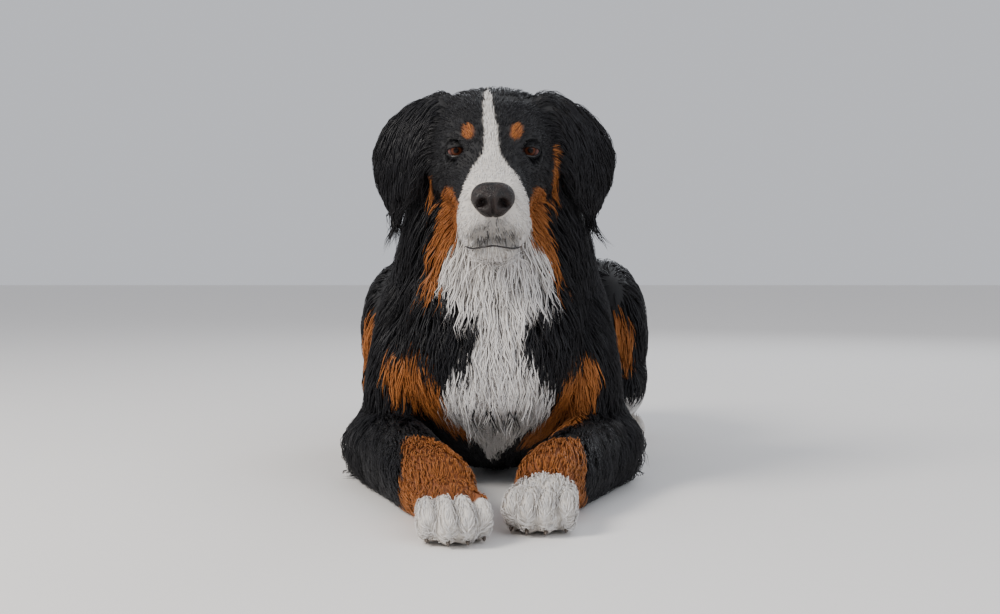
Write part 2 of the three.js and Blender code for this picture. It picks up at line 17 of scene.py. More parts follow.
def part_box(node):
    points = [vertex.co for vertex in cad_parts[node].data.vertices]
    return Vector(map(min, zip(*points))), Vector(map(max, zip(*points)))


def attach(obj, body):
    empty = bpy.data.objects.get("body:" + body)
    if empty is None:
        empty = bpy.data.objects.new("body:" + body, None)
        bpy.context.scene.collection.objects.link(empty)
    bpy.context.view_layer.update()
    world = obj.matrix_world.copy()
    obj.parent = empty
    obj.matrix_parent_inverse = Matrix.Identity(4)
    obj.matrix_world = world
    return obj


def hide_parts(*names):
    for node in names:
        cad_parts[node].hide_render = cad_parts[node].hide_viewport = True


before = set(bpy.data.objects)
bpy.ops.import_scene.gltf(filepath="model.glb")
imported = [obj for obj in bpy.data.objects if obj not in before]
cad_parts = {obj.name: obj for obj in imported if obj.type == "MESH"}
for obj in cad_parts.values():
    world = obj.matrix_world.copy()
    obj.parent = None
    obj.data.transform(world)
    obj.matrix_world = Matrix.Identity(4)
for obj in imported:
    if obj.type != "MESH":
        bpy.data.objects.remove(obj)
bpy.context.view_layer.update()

# %% [markdown]
# The solids were laid out about the dog and then moved so that the middle of their footprint is the
# origin. The eyes are plain balls, so the middle of an eye's box tells how far everything was moved.

# %% Driving sizes and the move from the drawing to the frame
MM = 0.001
EYE_LINE = np.array([0.0, -267.0, 420.0])
HEAD_PITCH = math.radians(15)
EYE_RADIUS = 12.5
EYE_SPREAD = 43
EYE_SETBACK = -4
NOSE_WIDTH = 50
MUZZLE_HALF = 39
SKULL_HALF = 74
CHEST_HALF = 128
RUMP_SHIFT = 15
HAUNCH_HALF = 216
PAW_HALF = 36
RIGHT_TOES_Y = -580
LEFT_TOES_Y = -525


def in_head(points):
    """Places given level, about the eye line, dipped with the head."""
    p = np.asarray(points, float)
    c, s = math.cos(HEAD_PITCH), math.sin(HEAD_PITCH)
    turned = np.stack([p[..., 0], p[..., 1] * c - p[..., 2] * s, p[..., 1] * s + p[..., 2] * c], -1)
    return turned + EYE_LINE


def from_head(points):
    """The reverse of in_head."""
    p = np.asarray(points, float) - EYE_LINE
    c, s = math.cos(HEAD_PITCH), math.sin(HEAD_PITCH)
    return np.stack([p[..., 0], p[..., 1] * c + p[..., 2] * s, -p[..., 1] * s + p[..., 2] * c], -1)


def eye_centre(side):
    return in_head([side * EYE_SPREAD, EYE_SETBACK, 0])


eye_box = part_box("left_eye")
SHIFT = np.array((Vector(eye_box[0]) + Vector(eye_box[1])) / 2) - eye_centre(1) * MM
print("the drawing's zero lies at", SHIFT.round(4))

# %% [markdown]
# Numbers between given ones come from a smooth line through them, the same Catmull-Rom spline that
# the solids use, so skin and solids share their curves.

# %% Smooth lines through rows of numbers


def spline(rows, t):
    """Rows of numbers read smoothly at places t from 0 to 1."""
    rows = np.asarray(rows, float)
    t = np.clip(np.asarray(t, float), 0, 1) * (len(rows) - 1)
    i = np.minimum(t.astype(int), len(rows) - 2)
    f = (t - i)[..., None]
    first = 2 * rows[0] - rows[1]
    last = 2 * rows[-1] - rows[-2]
    padded = np.vstack([first, rows, last])
    a, b, c, d = (padded[i + k] for k in range(4))
    return 0.5 * (2 * b + (c - a) * f + (2 * a - 5 * b + 4 * c - d) * f**2 + (3 * b - a - 3 * c + d) * f**3)


def smooth(low, high, x):
    """0 below low, 1 above high, and a soft ramp between."""
    t = np.clip((np.asarray(x, float) - low) / (high - low), 0, 1)
    return t * t * (3 - 2 * t)


def unit(v):
    """Arrows of length 1 in the directions of v."""
    return v / np.maximum(np.linalg.norm(v, axis=-1, keepdims=True), 1e-9)


print("a line through 0, 10 and 0 is at", spline([[0], [10], [0]], 0.25), "a quarter of the way")

# %% [markdown]
# Every muscle mass starts as a ball. Its rings are drawn out along a row of stations, each with a
# centre, a half width and how far it reaches up and down. A tube with caps would do too, but a ball's
# poles already close both ends.

# %% Draw balls out into limbs


def new_ball(segments=32, rings=24):
    """A ball of radius 1 at the origin."""
    bpy.ops.object.select_all(action="DESELECT")
    bpy.ops.mesh.primitive_uv_sphere_add(segments=segments, ring_count=rings, radius=1)
    return bpy.context.object


def corners(obj):
    """A mesh's corners as rows of x, y and z."""
    flat = np.empty(len(obj.data.vertices) * 3)
    obj.data.vertices.foreach_get("co", flat)
    return flat.reshape(-1, 3)


def move_corners(obj, places):
    obj.data.vertices.foreach_set("co", np.asarray(places, np.float32).ravel())
    obj.data.update()


def drawn_out(stations, caps=(30, 30), side=(1, 0, 0), square=2.2, segments=32, rings=26):
    """A ball drawn out over stations of (centre, half width, reach up, reach down).

    caps are the lengths over which the two ends round off. square is 2 for an oval section and more
    for a squarer one.
    """
    ball = new_ball(segments, rings)
    p = corners(ball)
    t = (1 - p[:, 2]) / 2
    centres = np.array([s[0] for s in stations], float)
    sizes = np.array([s[1:] for s in stations], float)
    length = np.linalg.norm(np.diff(spline(centres, np.linspace(0, 1, 60)), axis=0), axis=1).sum()
    centre = spline(centres, t)
    tangent = unit(spline(centres, t + 0.01) - spline(centres, t - 0.01))
    side = np.array(side, float)
    across = unit(side - tangent * (tangent @ side)[:, None])
    upward = -np.cross(across, tangent)
    share = np.minimum(1, np.minimum(t * length / caps[0], (1 - t) * length / caps[1]))
    rounded = np.sqrt(np.maximum(0, 1 - (1 - share) ** 2))
    at_pole = np.hypot(p[:, 0], p[:, 1]) < 1e-4
    rounded = np.where(at_pole, 0, rounded)
    angle = np.arctan2(p[:, 1], p[:, 0])
    wide = np.sign(np.cos(angle)) * np.abs(np.cos(angle)) ** (2 / square)
    tall = np.sign(np.sin(angle)) * np.abs(np.sin(angle)) ** (2 / square)
    size = spline(sizes, t)
    reach = np.where(tall > 0, size[:, 1], size[:, 2])
    sideways = across * (wide * size[:, 0] * rounded)[:, None]
    upwards = upward * (tall * reach * rounded)[:, None]
    move_corners(ball, (centre + sideways + upwards) * MM)
    return ball


def rounded_mass(centre, radii, turn=(0, 0, 0)):
    """An ellipsoid, turned by degrees about its own middle."""
    ball = new_ball(24, 18)
    spin = np.array(Euler([math.radians(a) for a in turn]).to_matrix())
    move_corners(ball, ((corners(ball) * np.array(radii)) @ spin.T + np.array(centre)) * MM)
    return ball


def on_side(stations, side, shift=0):
    """Stations of the dog's left side, mirrored for side -1 and then moved sideways."""
    return [((shift + side * x, y, z), *sizes) for (x, y, z), *sizes in stations]


print("a limb has", len(on_side([((1, 2, 3), 4, 5, 6)], -1)[0]), "values at each station")

# %% [markdown]
# The trunk of a lying dog is a deep barrel that rests on the brisket and belly. The neck rises out of
# it almost upright, and carries a ruff of long hair later on.

# %% Trunk, neck and tail
TORSO = [
    ((0, -262, 190), 72, 66, 72),
    ((0, -225, 182), 100, 100, 132),
    ((0, -160, 178), 118, 140, 172),
    ((2, -70, 180), CHEST_HALF, 166, 176),
    ((4, 20, 184), CHEST_HALF + 8, 174, 182),
    ((8, 120, 184), CHEST_HALF + 10, 164, 182),
    ((12, 220, 184), CHEST_HALF + 4, 152, 182),
    ((RUMP_SHIFT, 310, 184), 120, 132, 176),
    ((RUMP_SHIFT, 375, 172), 96, 104, 150),
    ((RUMP_SHIFT, 418, 165), 60, 66, 100),
]
NECK = [
    ((0, -168, 440), 80, 60, 56),
    ((0, -158, 400), 96, 84, 76),
    ((0, -145, 345), 108, 108, 104),
    ((2, -125, 290), 122, 132, 122),
    ((2, -105, 240), 124, 140, 130),
]
TAIL_LINE = [
    (RUMP_SHIFT, 392, 196),
    (RUMP_SHIFT, 448, 138),
    (12, 498, 66),
    (2, 560, 46),
    (-16, 630, 42),
    (-44, 694, 40),
    (-76, 742, 36),
]
TAIL_THICK = (30, 27, 25, 23, 20, 16, 10)
flesh = [
    drawn_out(TORSO, caps=(34, 40)),
    drawn_out(NECK, square=2),
    drawn_out([(p, r, r, min(r, p[2] - 12)) for p, r in zip(TAIL_LINE, TAIL_THICK)], square=2),
]
print("trunk, neck and tail:", len(flesh), "masses")

# %% [markdown]
# A lying dog folds its legs: the upper arm hangs back to the elbow, the forearm runs forward along the
# floor, and behind, thigh and shank are folded over the long hind foot.

# %% Sizes of the legs
WRIST = {-1: (-58, -436, 44), 1: (66, -394, 44)}
TOES_TIP = {-1: (-32, RIGHT_TOES_Y, 15), 1: (44, LEFT_TOES_Y, 15)}
UPPER_ARM = [
    ((92, -40, 250), 44, 60, 60),
    ((100, -110, 205), 43, 70, 66),
    ((112, -165, 140), 43, 62, 58),
    ((124, -160, 88), 38, 54, 54),
    ((143, -138, 48), 43, 42, 42),
]
THIGH = [
    ((HAUNCH_HALF * 0.42, 350, 196), 52, 80, 78),
    ((HAUNCH_HALF * 0.58, 290, 182), 66, 104, 112),
    ((HAUNCH_HALF * 0.7, 215, 176), 62, 108, 122),
    ((HAUNCH_HALF * 0.76, 150, 172), 46, 92, 96),
    ((HAUNCH_HALF * 0.78, 112, 168), 30, 60, 62),
]
SHANK = [
    ((158, 126, 128), 44, 52, 62),
    ((164, 158, 104), 46, 56, 76),
    ((160, 235, 84), 42, 48, 66),
    ((150, 312, 66), 34, 38, 50),
    ((144, 366, 56), 26, 28, 36),
]
HOCK = {side: (RUMP_SHIFT + side * 152, 372, 44) for side in (-1, 1)}
HIND_TOES = {-1: (-138, 186, 20), 1: (204, 180, 20)}
print("the right foreleg reaches", LEFT_TOES_Y - RIGHT_TOES_Y, "mm further than the left")

# %% [markdown]
# Forearm and hind cannon lie between two joints whose places are known. Their stations are worked out
# along the straight line from one joint to the other, as a share of its length and a height.

# %% Legs


def forearm(side):
    wrist = WRIST[side]
    elbow = (side * 142, -165, 50)

    def between(t, z):
        return (elbow[0] + t * (wrist[0] - elbow[0]), elbow[1] + t * (wrist[1] - elbow[1]), z)

    stations = [
        ((side * 144, -120, 46), 34, 34, 40),
        (elbow, 44, 44, 46),
        (between(0.3, 50), 41, 40, 46),
        (between(0.65, 46), 36, 35, 43),
        (wrist, 33, 32, 40),
        (between(1.14, 36), 32, 28, 32),
    ]
    return drawn_out(stations, caps=(22, 16), square=2)


def hind_cannon(side):
    heel = np.array(HOCK[side], float)
    end = np.array(HIND_TOES[side], float)

    def middle(t, z):
        p = heel + t * (end - heel)
        return (p[0], p[1], z)

    stations = [
        ((heel[0], heel[1] + 28, 48), 24, 26, 36),
        (tuple(heel), 29, 29, 40),
        (middle(0.25, 38), 26, 25, 34),
        (middle(0.5, 34), 27, 23, 31),
        (middle(0.68, 32), 28, 21, 29),
    ]
    return drawn_out(stations, caps=(18, 12), square=2)


for side in (-1, 1):
    flesh.append(drawn_out(on_side(UPPER_ARM, side), caps=(30, 26), square=2))
    flesh.append(drawn_out(on_side(THIGH, side, RUMP_SHIFT), caps=(30, 26), square=2))
    flesh.append(drawn_out(on_side(SHANK, side, RUMP_SHIFT), caps=(26, 22), square=2))
    flesh.append(forearm(side))
    flesh.append(hind_cannon(side))
print("with the legs:", len(flesh), "masses")

# %% [markdown]
# A foot is an instep and four toes side by side, the two in the middle a little longer. The toes are
# arched, so each has a knuckle above and a rounded tip with a claw. Places on a foot are given as a share
# of its length and a share of its half width, so one recipe makes all four feet.

# %% Feet and claws
claws = []
feet = []


def foot(start, tip, size):
    """A foot from its wrist or heel to the tip of its toes. size is its half width."""
    start = np.array(start, float)
    along = np.array([tip[0] - start[0], tip[1] - start[1], 0.0])
    reach = np.linalg.norm(along)
    along /= reach
    across = np.array([-along[1], along[0], 0.0])

    def spot(f, s, z):
        p = start + along * f * reach + across * s * size
        return (p[0], p[1], z)

    instep = [
        (spot(-0.05, 0, start[2]), size * 0.74, 22, start[2] - 6),
        (spot(0.35, 0, 36), size * 0.88, 22, 33),
        (spot(0.62, 0, 30), size * 0.94, 21, 27),
        (spot(0.84, 0, 24), size * 0.88, 16, 21),
    ]
    flesh.append(drawn_out(instep, caps=(10, 22), side=across, square=2))
    for s in (-0.76, -0.26, 0.26, 0.76):
        end = 0.88 if abs(s) > 0.5 else 1
        toe = [
            (spot(end - 0.36, s * 0.92, 36), size * 0.24, 14, 20),
            (spot(end - 0.19, s * 0.99, 31), size * 0.275, 17, 28),
            (spot(end - 0.07, s * 1.04, 24), size * 0.27, 16, 22),
            (spot(end - 0.01, s * 1.05, 17), size * 0.2, 11, 14),
        ]
        flesh.append(drawn_out(toe, caps=(8, 13), side=across, square=2, segments=20, rings=16))
        claw = [
            (spot(end - 20 / reach, s * 1.05, 10), 2.8, 3.2, 3.0),
            (spot(end - 13 / reach, s * 1.06, 8), 2.5, 2.8, 2.6),
            (spot(end - 9 / reach, s * 1.06, 6), 2.0, 2.2, 2.0),
            (spot(end - 6 / reach, s * 1.06, 4), 1.1, 1.3, 1.1),
        ]
        claws.append(drawn_out(claw, caps=(2, 5), side=across, square=2, segments=12, rings=10))
    feet.append((start, along, across, reach, size))


for side in (-1, 1):
    wrist = WRIST[side]
    foot((wrist[0], wrist[1] + 4, 42), TOES_TIP[side], PAW_HALF)
    heel = np.array(HOCK[side], float)
    end = np.array(HIND_TOES[side], float)
    start = heel + 0.56 * (end - heel)
    foot((start[0], start[1], 34), tuple(end), PAW_HALF * 0.86)
print("feet:", len(feet), "claws:", len(claws))

# %% [markdown]
# The head is the part that people look at first, so it is built of the masses that an anatomy book
# names: muzzle, broad flat skull with a stop between them, cheeks, brow ridges, flews and lower jaw.

# %% Sizes of the head and ears
# place forward and up from the eye line, half width, reach up and down
SKULL = [
    (-123, -50, MUZZLE_HALF - 9, 24, 30),
    (-105, -50, MUZZLE_HALF - 1, 34, 38),
    (-75, -48, MUZZLE_HALF + 1, 37, 42),
    (-45, -44, MUZZLE_HALF + 5, 40, 46),
    (-22, -34, 56, 40, 50),
    (5, -22, SKULL_HALF - 10, 60, 55),
    (40, -10, SKULL_HALF, 91, 57),
    (75, 0, SKULL_HALF + 1, 91, 56),
    (105, 5, 67, 80, 52),
    (132, 5, 50, 59, 44),
    (146, 5, 34, 36, 34),
]
JAW = [
    ((0, -110, -96), 18, 10, 9),
    ((0, -95, -97), 27, 14, 12),
    ((0, -50, -95), 33, 18, 17),
    ((0, 10, -84), 45, 30, 29),
    ((0, 50, -72), 43, 26, 27),
]
EAR = [
    ((56, -196, 492), 18, 9, 8),
    ((79, -204, 478), 25, 9, 8),
    ((103, -208, 449), 41, 7, 6),
    ((114, -207, 414), 44, 7, 6),
    ((119, -203, 384), 33, 6, 5),
    ((121, -198, 360), 16, 5, 5),
    ((119, -195, 346), 6, 4, 4),
]
CHEEK = (50, 28, -32)
FLEW = (23, -86, -60)
BROW = (38, 0, 20)
print("the skull is", 2 * max(row[2] for row in SKULL), "mm wide")

# %% [markdown]
# Skull and jaw are drawn out along the head. Cheeks, flews and brows are eggs pressed into them, and each
# ear is a flat flap that hangs from the corner of the crown. An ear could be a thin sheet, but a flap with
# thickness melts into the head without a hole.

# %% Head and ears
skull = [(tuple(in_head([0, y, z])), *sizes) for y, z, *sizes in SKULL]
flesh.append(drawn_out(skull, caps=(16, 22), square=2.7, segments=40, rings=40))
flesh.append(drawn_out([(tuple(in_head(place)), *sizes) for place, *sizes in JAW], caps=(14, 20), square=2))
pitch = math.degrees(HEAD_PITCH)
for side in (-1, 1):
    cheek, flew, brow = (in_head(np.array(place) * [side, 1, 1]) for place in (CHEEK, FLEW, BROW))
    flesh.append(rounded_mass(cheek, (26, 46, 34), (pitch, 0, 0)))
    flesh.append(rounded_mass(flew, (18, 36, 30), (pitch, 0, 0)))
    flesh.append(rounded_mass(brow, (22, 18, 9), (pitch, side * 18, 0)))
    flesh.append(drawn_out(on_side(EAR, side), caps=(10, 14), side=(side * 0.8, 0.6, 0), square=2.3))
print("with the head:", len(flesh), "masses")

# %% [markdown]
# One skin has to cover all of this without a seam. A voxel remesh melts the balls into one surface,
# and a smoothing pass takes the creases out of the joints, as fascia does under real skin.

# %% Melt the masses into one skin
SKIN_FACE = 4.9


def only(obj):
    """Makes one object the only selected one, and the active one."""
    bpy.ops.object.select_all(action="DESELECT")
    obj.select_set(True)
    bpy.context.view_layer.objects.active = obj


def joined(pieces):
    only(pieces[0])
    for piece in pieces[1:]:
        piece.select_set(True)
    bpy.ops.object.join()
    return bpy.context.object


skin = joined(flesh)
skin.name = "skin"
melt = skin.modifiers.new("melt", "REMESH")
melt.mode = "VOXEL"
melt.voxel_size = SKIN_FACE * MM
bpy.ops.object.modifier_apply(modifier="melt")
relax = skin.modifiers.new("relax", "SMOOTH")
relax.factor = 0.5
relax.iterations = 5
bpy.ops.object.modifier_apply(modifier="relax")
print("skin:", len(skin.data.polygons), "faces of", SKIN_FACE, "mm")

# %% [markdown]
# Lids, lips and toes are smaller than the faces of the body. Only there is each face split in four, as a
# finer mesh everywhere would cost four times the memory for no gain.

# %% Finer faces on the head and feet


def refine(obj, chosen):
    """Splits the faces whose middles pass the test, two by two."""
    middles = np.empty(len(obj.data.polygons) * 3)
    obj.data.polygons.foreach_get("center", middles)
    picked = chosen(middles.reshape(-1, 3) / MM)
    bpy.ops.object.mode_set(mode="EDIT")
    bpy.ops.mesh.select_all(action="DESELECT")
    bpy.ops.mesh.select_mode(type="FACE")
    bpy.ops.object.mode_set(mode="OBJECT")
    obj.data.polygons.foreach_set("select", picked)
    bpy.ops.object.mode_set(mode="EDIT")
    bpy.ops.mesh.subdivide(number_cuts=1, smoothness=0)
    bpy.ops.object.mode_set(mode="OBJECT")


def is_face(p):
    x, y, z = from_head(p).T
    return (y < 40) & (z > -125) & (np.abs(x) < 80) & (p[:, 1] < -235)


def is_foot(p):
    near = np.zeros(len(p), bool)
    for start, along, across, reach, size in feet:
        forward = (p - start) @ along
        sideways = np.abs((p - start) @ across)
        near |= (forward > reach * 0.4) & (forward < reach + 15) & (sideways < size * 1.3)
    return near & (p[:, 2] < FOOT_TOP)


FOOT_TOP = 75
refine(skin, lambda p: is_face(p) | is_foot(p))
print("with a finer face and feet:", len(skin.data.polygons), "faces")

# %% [markdown]
# A dog's lids are a soft mound over the eyeball with an almond opening. The mound is raised onto the ball,
# and inside the almond the skin is sunk behind it. Sculpting by hand would do, but a push that is a small
# function of a corner's place gives the same lids each time.

# %% Lids
LID_HALF = 11.0
LID_THICK = 2.4
OPENING_DEPTH = 5.5


def eye_axes(side):
    """An eye's own directions: out of the head, towards its outer corner, and up."""
    out = unit(np.array([side * 0.15, -0.98, 0.06]))
    along = unit(np.cross(out, [0, 0, 1.0]) * -side)
    if along[0] * side < 0:
        along = -along
    up = np.cross(out, along) * (1 if np.cross(out, along)[2] > 0 else -1)
    c, s = math.cos(HEAD_PITCH), math.sin(HEAD_PITCH)
    turn = np.array([[1, 0, 0], [0, c, -s], [0, s, c]])
    return turn @ out, turn @ along, turn @ up


def lid_edges(h):
    """Heights of the upper and lower lid at a place h along the eye, from inner to outer corner."""
    share = np.clip(h / LID_HALF, -1, 1)
    arch = np.maximum(0, 1 - share**2) ** 0.62
    tilt = -0.5 * share
    upper = 4.6 * arch * (1 - 0.12 * share) + tilt
    lower = -5.2 * arch * (1 + 0.22 * share) + tilt
    return upper, lower


def lid_gap(h, v):
    """How far a place is outside the opening between the lids. It is negative inside."""
    upper, lower = lid_edges(h)
    return np.maximum(np.maximum(v - upper, lower - v), np.abs(h) - LID_HALF)


p = corners(skin) / MM
for side in (-1, 1):
    out, along, up = eye_axes(side)
    q = p - eye_centre(side)
    h, v, depth = q @ along, q @ up, q @ out
    around = np.hypot(h, v)
    near = (around < 27) & (depth > -6) & (np.linalg.norm(q, axis=1) < 40)
    mound = np.sqrt(np.maximum(0, (EYE_RADIUS + LID_THICK) ** 2 - around**2))
    raised = (mound - depth) * smooth(25, 11, around) * (around < EYE_RADIUS + 2)
    sunk = smooth(0.9, -0.9, lid_gap(h, v)) * OPENING_DEPTH
    p = p + out * ((raised - sunk) * near)[:, None]
upper, lower = lid_edges(0)
print("the lids open by", round(float(upper - lower), 1), "mm")

# %% [markdown]
# The mouth is a groove with a fuller lip above it, and the forehead has a shallow furrow down its middle.
# Each corner near the mouth finds the nearest place on the mouth line, and the distance sets its push.

# %% Mouth and forehead
MOUTH_LINE = [
    (0, -119, -88),
    (12, -117, -90),
    (24, -108, -94),
    (33, -88, -97),
    (38, -62, -95),
    (41, -38, -90),
]
local = from_head(p)
line = spline(MOUTH_LINE, np.linspace(0, 1, 80))


def nearest_of(places):
    """A tree that finds the nearest of some places."""
    tree = KDTree(len(places))
    for i, place in enumerate(places):
        tree.insert(place, i)
    tree.balance()
    return tree


mouth_tree = nearest_of(np.vstack([line, line * [-1, 1, 1]]))
candidates = np.flatnonzero((local[:, 1] < 10) & (local[:, 2] < -60) & (local[:, 2] > -125))
push = np.zeros_like(local)
for i in candidates:
    nearest, _, gap = mouth_tree.find(local[i])
    if gap > 14:
        continue
    nearest = np.array(nearest)
    outward = unit(np.array([nearest[0], min(0.0, nearest[1] + 60), 0.0]) + 1e-6)
    above = local[i][2] - nearest[2]
    groove = math.exp(-((gap / 2.2) ** 2)) * -3.4
    lip = math.exp(-(((above - 5) / 5) ** 2)) * math.exp(-((gap / 9) ** 2)) * 2.2
    push[i] = outward * (groove + (lip if above > 0 else 0))
local = local + push
furrow = np.exp(-((local[:, 0] / 6) ** 2)) * smooth(-10, 20, local[:, 1]) * smooth(60, 20, local[:, 1])
local[:, 2] -= 1.6 * furrow * (local[:, 2] > 0)
p = in_head(local)
print("corners of the mouth and lips:", int((np.abs(push).sum(1) > 0).sum()))

# %% [markdown]
# Melting closed the gaps between the toes, so grooves are pressed in again, down and back. The soles are
# then spread onto the floor, as pads under weight are.

# %% Toes and soles
TOE_GAPS = (-0.54, 0, 0.54)
GAP_WIDTH = 0.105
GAP_DOWN = 8.5
GAP_BACK = 6.0
SOLE_DROP = 3.6
LOWEST_SKIN = 1.0
for start, along, across, reach, size in feet:
    q = p - start
    forward, sideways = q @ along / reach, q @ across / size
    on_foot = smooth(0.5, 0.72, forward) * (forward < 1.12) * (np.abs(sideways) < 1.25)
    on_foot = on_foot * (p[:, 2] < FOOT_TOP)
    for gap in TOE_GAPS:
        depth = np.exp(-(((sideways - gap) / GAP_WIDTH) ** 2)) * on_foot
        p[:, 2] -= depth * smooth(6, 30, p[:, 2]) * GAP_DOWN
        p -= along * (depth * smooth(0.8, 0.95, forward) * GAP_BACK)[:, None]
p[:, 2] = np.maximum(p[:, 2] - SOLE_DROP * smooth(24, 6, p[:, 2]), LOWEST_SKIN)
move_corners(skin, p * MM)
only(skin)
bpy.ops.object.shade_smooth()
print("grooves between toes:", len(feet) * len(TOE_GAPS))

# %% [markdown]
# The skin needs its own unwrap, because each tuft of the coat takes its colour patch from the place
# where it grows. Smart project cuts the surface into islands by the way that its faces look.

# %% Unwrap the skin
bpy.ops.object.mode_set(mode="EDIT")
bpy.ops.mesh.select_all(action="SELECT")
bpy.ops.uv.smart_project(angle_limit=math.radians(66), island_margin=0.002)
bpy.ops.object.mode_set(mode="OBJECT")
skin.data.uv_layers[0].name = "OFBake"
print("unwrapped:", len(skin.data.loops), "corners")

# %% [markdown]
# The markings are named shapes in space: chains of balls, each with a middle and a radius. A place
# belongs to a marking when it lies inside one of its balls or between two of them. The blaze and the bib
# are bands, given by their middle and half width at each height. All edges wander a little, as hair does.

# %% Markings
# white on the front of the dog: height, middle, half width
WHITE_FRONT = [
    (504, -7.5, 0),
    (495, -7.5, 4.5),
    (468, -6.2, 6.6),
    (441, -2.5, 7.6),
    (419, -2, 9),
    (406, -2.5, 13),
    (393, -2, 23),
    (383, 0, 29),
    (358, 1, 40),
    (326, 2, 46),
    (303, 1.5, 47),
    (296, 3, 54),
    (280, 4, 68),
    (254, 3, 71),
    (235, 5, 62),
    (218, 8, 38),
    (199, 7, 23),
    (180, 9, 26),
    (158, 9, 44),
    (138, 4, 66),
    (116, 4, 70),
    (98, 2, 58),
    (80, 2, 38),
    (61, 2, 20),
    (38, -3, 7),
    (26, -3, 0),
]
WHITE_TAIL = [(-60, 718, 38, 40), (-84, 756, 34, 60)]
# tan on the front: chains of circles by side place, height and radius
TAN_FRONT = {
    "right_brow": [(-31, 445, 6), (-30, 436, 6.5)],
    "left_brow": [(28, 445, 6), (27, 436, 6.5)],
    "right_cheek": [(-55, 366, 8), (-54, 345, 15), (-58, 315, 18), (-72, 285, 19), (-80, 258, 16)],
    "left_cheek": [(56, 366, 8), (56, 345, 14), (58, 318, 14), (68, 290, 13), (76, 262, 10)],
    "right_ear_edge": [(-78, 385, 2), (-78, 350, 4)],
    "left_ear_edge": [(78, 425, 2.5), (75, 350, 4)],
    "right_chest": [(-128, 158, 12), (-110, 142, 26), (-84, 124, 26), (-60, 100, 17), (-36, 76, 9)],
    "left_chest": [(118, 150, 14), (108, 126, 22), (94, 104, 18), (74, 82, 13), (42, 64, 8)],
}
# greyish, sooty hair above the middle of the mouth
SOOT_FRONT = [(-15, 310, 15), (2, 320, 17), (18, 310, 15)]
# the forelegs are black behind RUST_LEG and outside RUST_OUTSIDE
RUST_LEG = -340
RUST_OUTSIDE = 103
# how far the white reaches back from the toes
WHITE_FOOT = {-1: 52, 1: 88}
LEG_TOP = 105
print("markings:", 3 + len(TAN_FRONT), "on the trunk and head, and those of the legs")

# %% [markdown]
# A marking is read as a depth: how many millimetres a place lies inside its edge. Depths are easy to join
# with maximum and minimum, and a soft step turns them into the share of white or tan hair at the end.

# %% Read the markings
OUTSIDE = -1e9
FULL_TURN = 6.28


def inside_chain(points, chain):
    """How deep places lie inside a chain of balls or circles, in millimetres. It is negative outside."""
    chain = np.array(chain, float)
    best = np.full(len(points), OUTSIDE)
    for a, b in zip(chain[:-1], chain[1:]):
        step = b[:-1] - a[:-1]
        t = np.clip(((points - a[:-1]) @ step) / max(step @ step, 1e-6), 0, 1)
        middle = a[:-1] + t[:, None] * step
        radius = a[-1] + t * (b[-1] - a[-1])
        best = np.maximum(best, radius - np.linalg.norm(points - middle, axis=1))
    return best


def inside_rows(points, rows):
    """How deep places lie between the edges of a marking given row by row, seen from the front."""
    rows = np.array(rows[::-1], float)
    middle = np.interp(points[:, 2], rows[:, 0], rows[:, 1])
    half = np.interp(points[:, 2], rows[:, 0], rows[:, 2])
    return half - np.abs(points[:, 0] - middle)


def wander(points, size, seed):
    """A smooth field of about -1 to 1 over space, built of a few slanted waves."""
    r = np.random.default_rng(seed)
    total = np.zeros(len(points))
    for _ in range(7):
        slant = unit(r.normal(size=3)) * (2 * np.pi / size * r.uniform(0.6, 1.7))
        total += np.sin(points @ slant + r.uniform(0, FULL_TURN))
    return total / 3.2


def markings(points):
    """White and tan shares of the coat, and its soot, at places in the drawing's millimetres."""
    fine = smooth(330, 290, points[:, 2])[:, None] * 2.4 + 0.8
    ragged = points + np.stack([wander(points, 26, s) for s in (1, 2, 3)], -1) * fine
    x, y, z = ragged.T
    flat = ragged[:, [0, 2]]
    leg = (z < LEG_TOP) & (y < -272)
    front = (y < -150) & ~leg & (z > 20)
    white = np.where(front, inside_rows(ragged, WHITE_FRONT), OUTSIDE)
    white = np.maximum(white, inside_chain(ragged, WHITE_TAIL))
    tan = np.full(len(points), OUTSIDE)
    for name, chain in TAN_FRONT.items():
        facing = front & (y < (-175 if "ear" in name or "chest" in name else -225))
        tan = np.maximum(tan, np.where(facing, inside_chain(flat, chain), OUTSIDE))
    soot = np.where(y < -330, inside_chain(flat, SOOT_FRONT), OUTSIDE)
    for side in (-1, 1):
        tip = np.array(TOES_TIP[side], float)
        own = (z < LEG_TOP) & (y < -200) & (np.sign(x - 5) == side)
        rust = np.minimum((RUST_LEG - y) * 0.7 - np.maximum(0, z - 96), RUST_OUTSIDE - np.abs(x))
        tan = np.where(own, np.maximum(tan, rust), tan)
        white_foot = tip[1] + WHITE_FOOT[side] - y - (z - 30) * 0.35
        white = np.where(own & (y < -380), np.maximum(white, white_foot), white)
        toes = np.array(HIND_TOES[side], float)
        hind = (z < 78) & (np.abs(x - toes[0]) < 62) & (y < 400) & (y > 100)
        white = np.where(hind, np.maximum(white, toes[1] + 62 - y), white)
        tan = np.where(hind, np.maximum(tan, 30.0), tan)
        stifle = (y < 205) & (y > 60) & (x * side > 85) & (z < 195)
        stifle &= (side < 0) | ((x > 176) & (x < 206) & (z > 126))
        tan = np.where(stifle, np.maximum(tan, 165 - y - np.abs(z - 150) * 0.6), tan)
    return smooth(-2.5, 2.5, white), smooth(-3, 3, tan), smooth(-6, 9, soot)


def mark(obj, **layers):
    """Gives a mesh one number at each corner under each name."""
    for name, values in layers.items():
        layer = obj.data.attributes.new(name, "FLOAT", "POINT")
        layer.data.foreach_set("value", np.asarray(values, np.float32))


skin_mm = corners(skin) / MM
skin_white, skin_tan, skin_soot = markings(skin_mm)
mark(skin, white=skin_white * (1 - 0.45 * skin_soot), tan=skin_tan)
print("white share of the skin:", skin_white.mean().round(3), "tan:", skin_tan.mean().round(3))

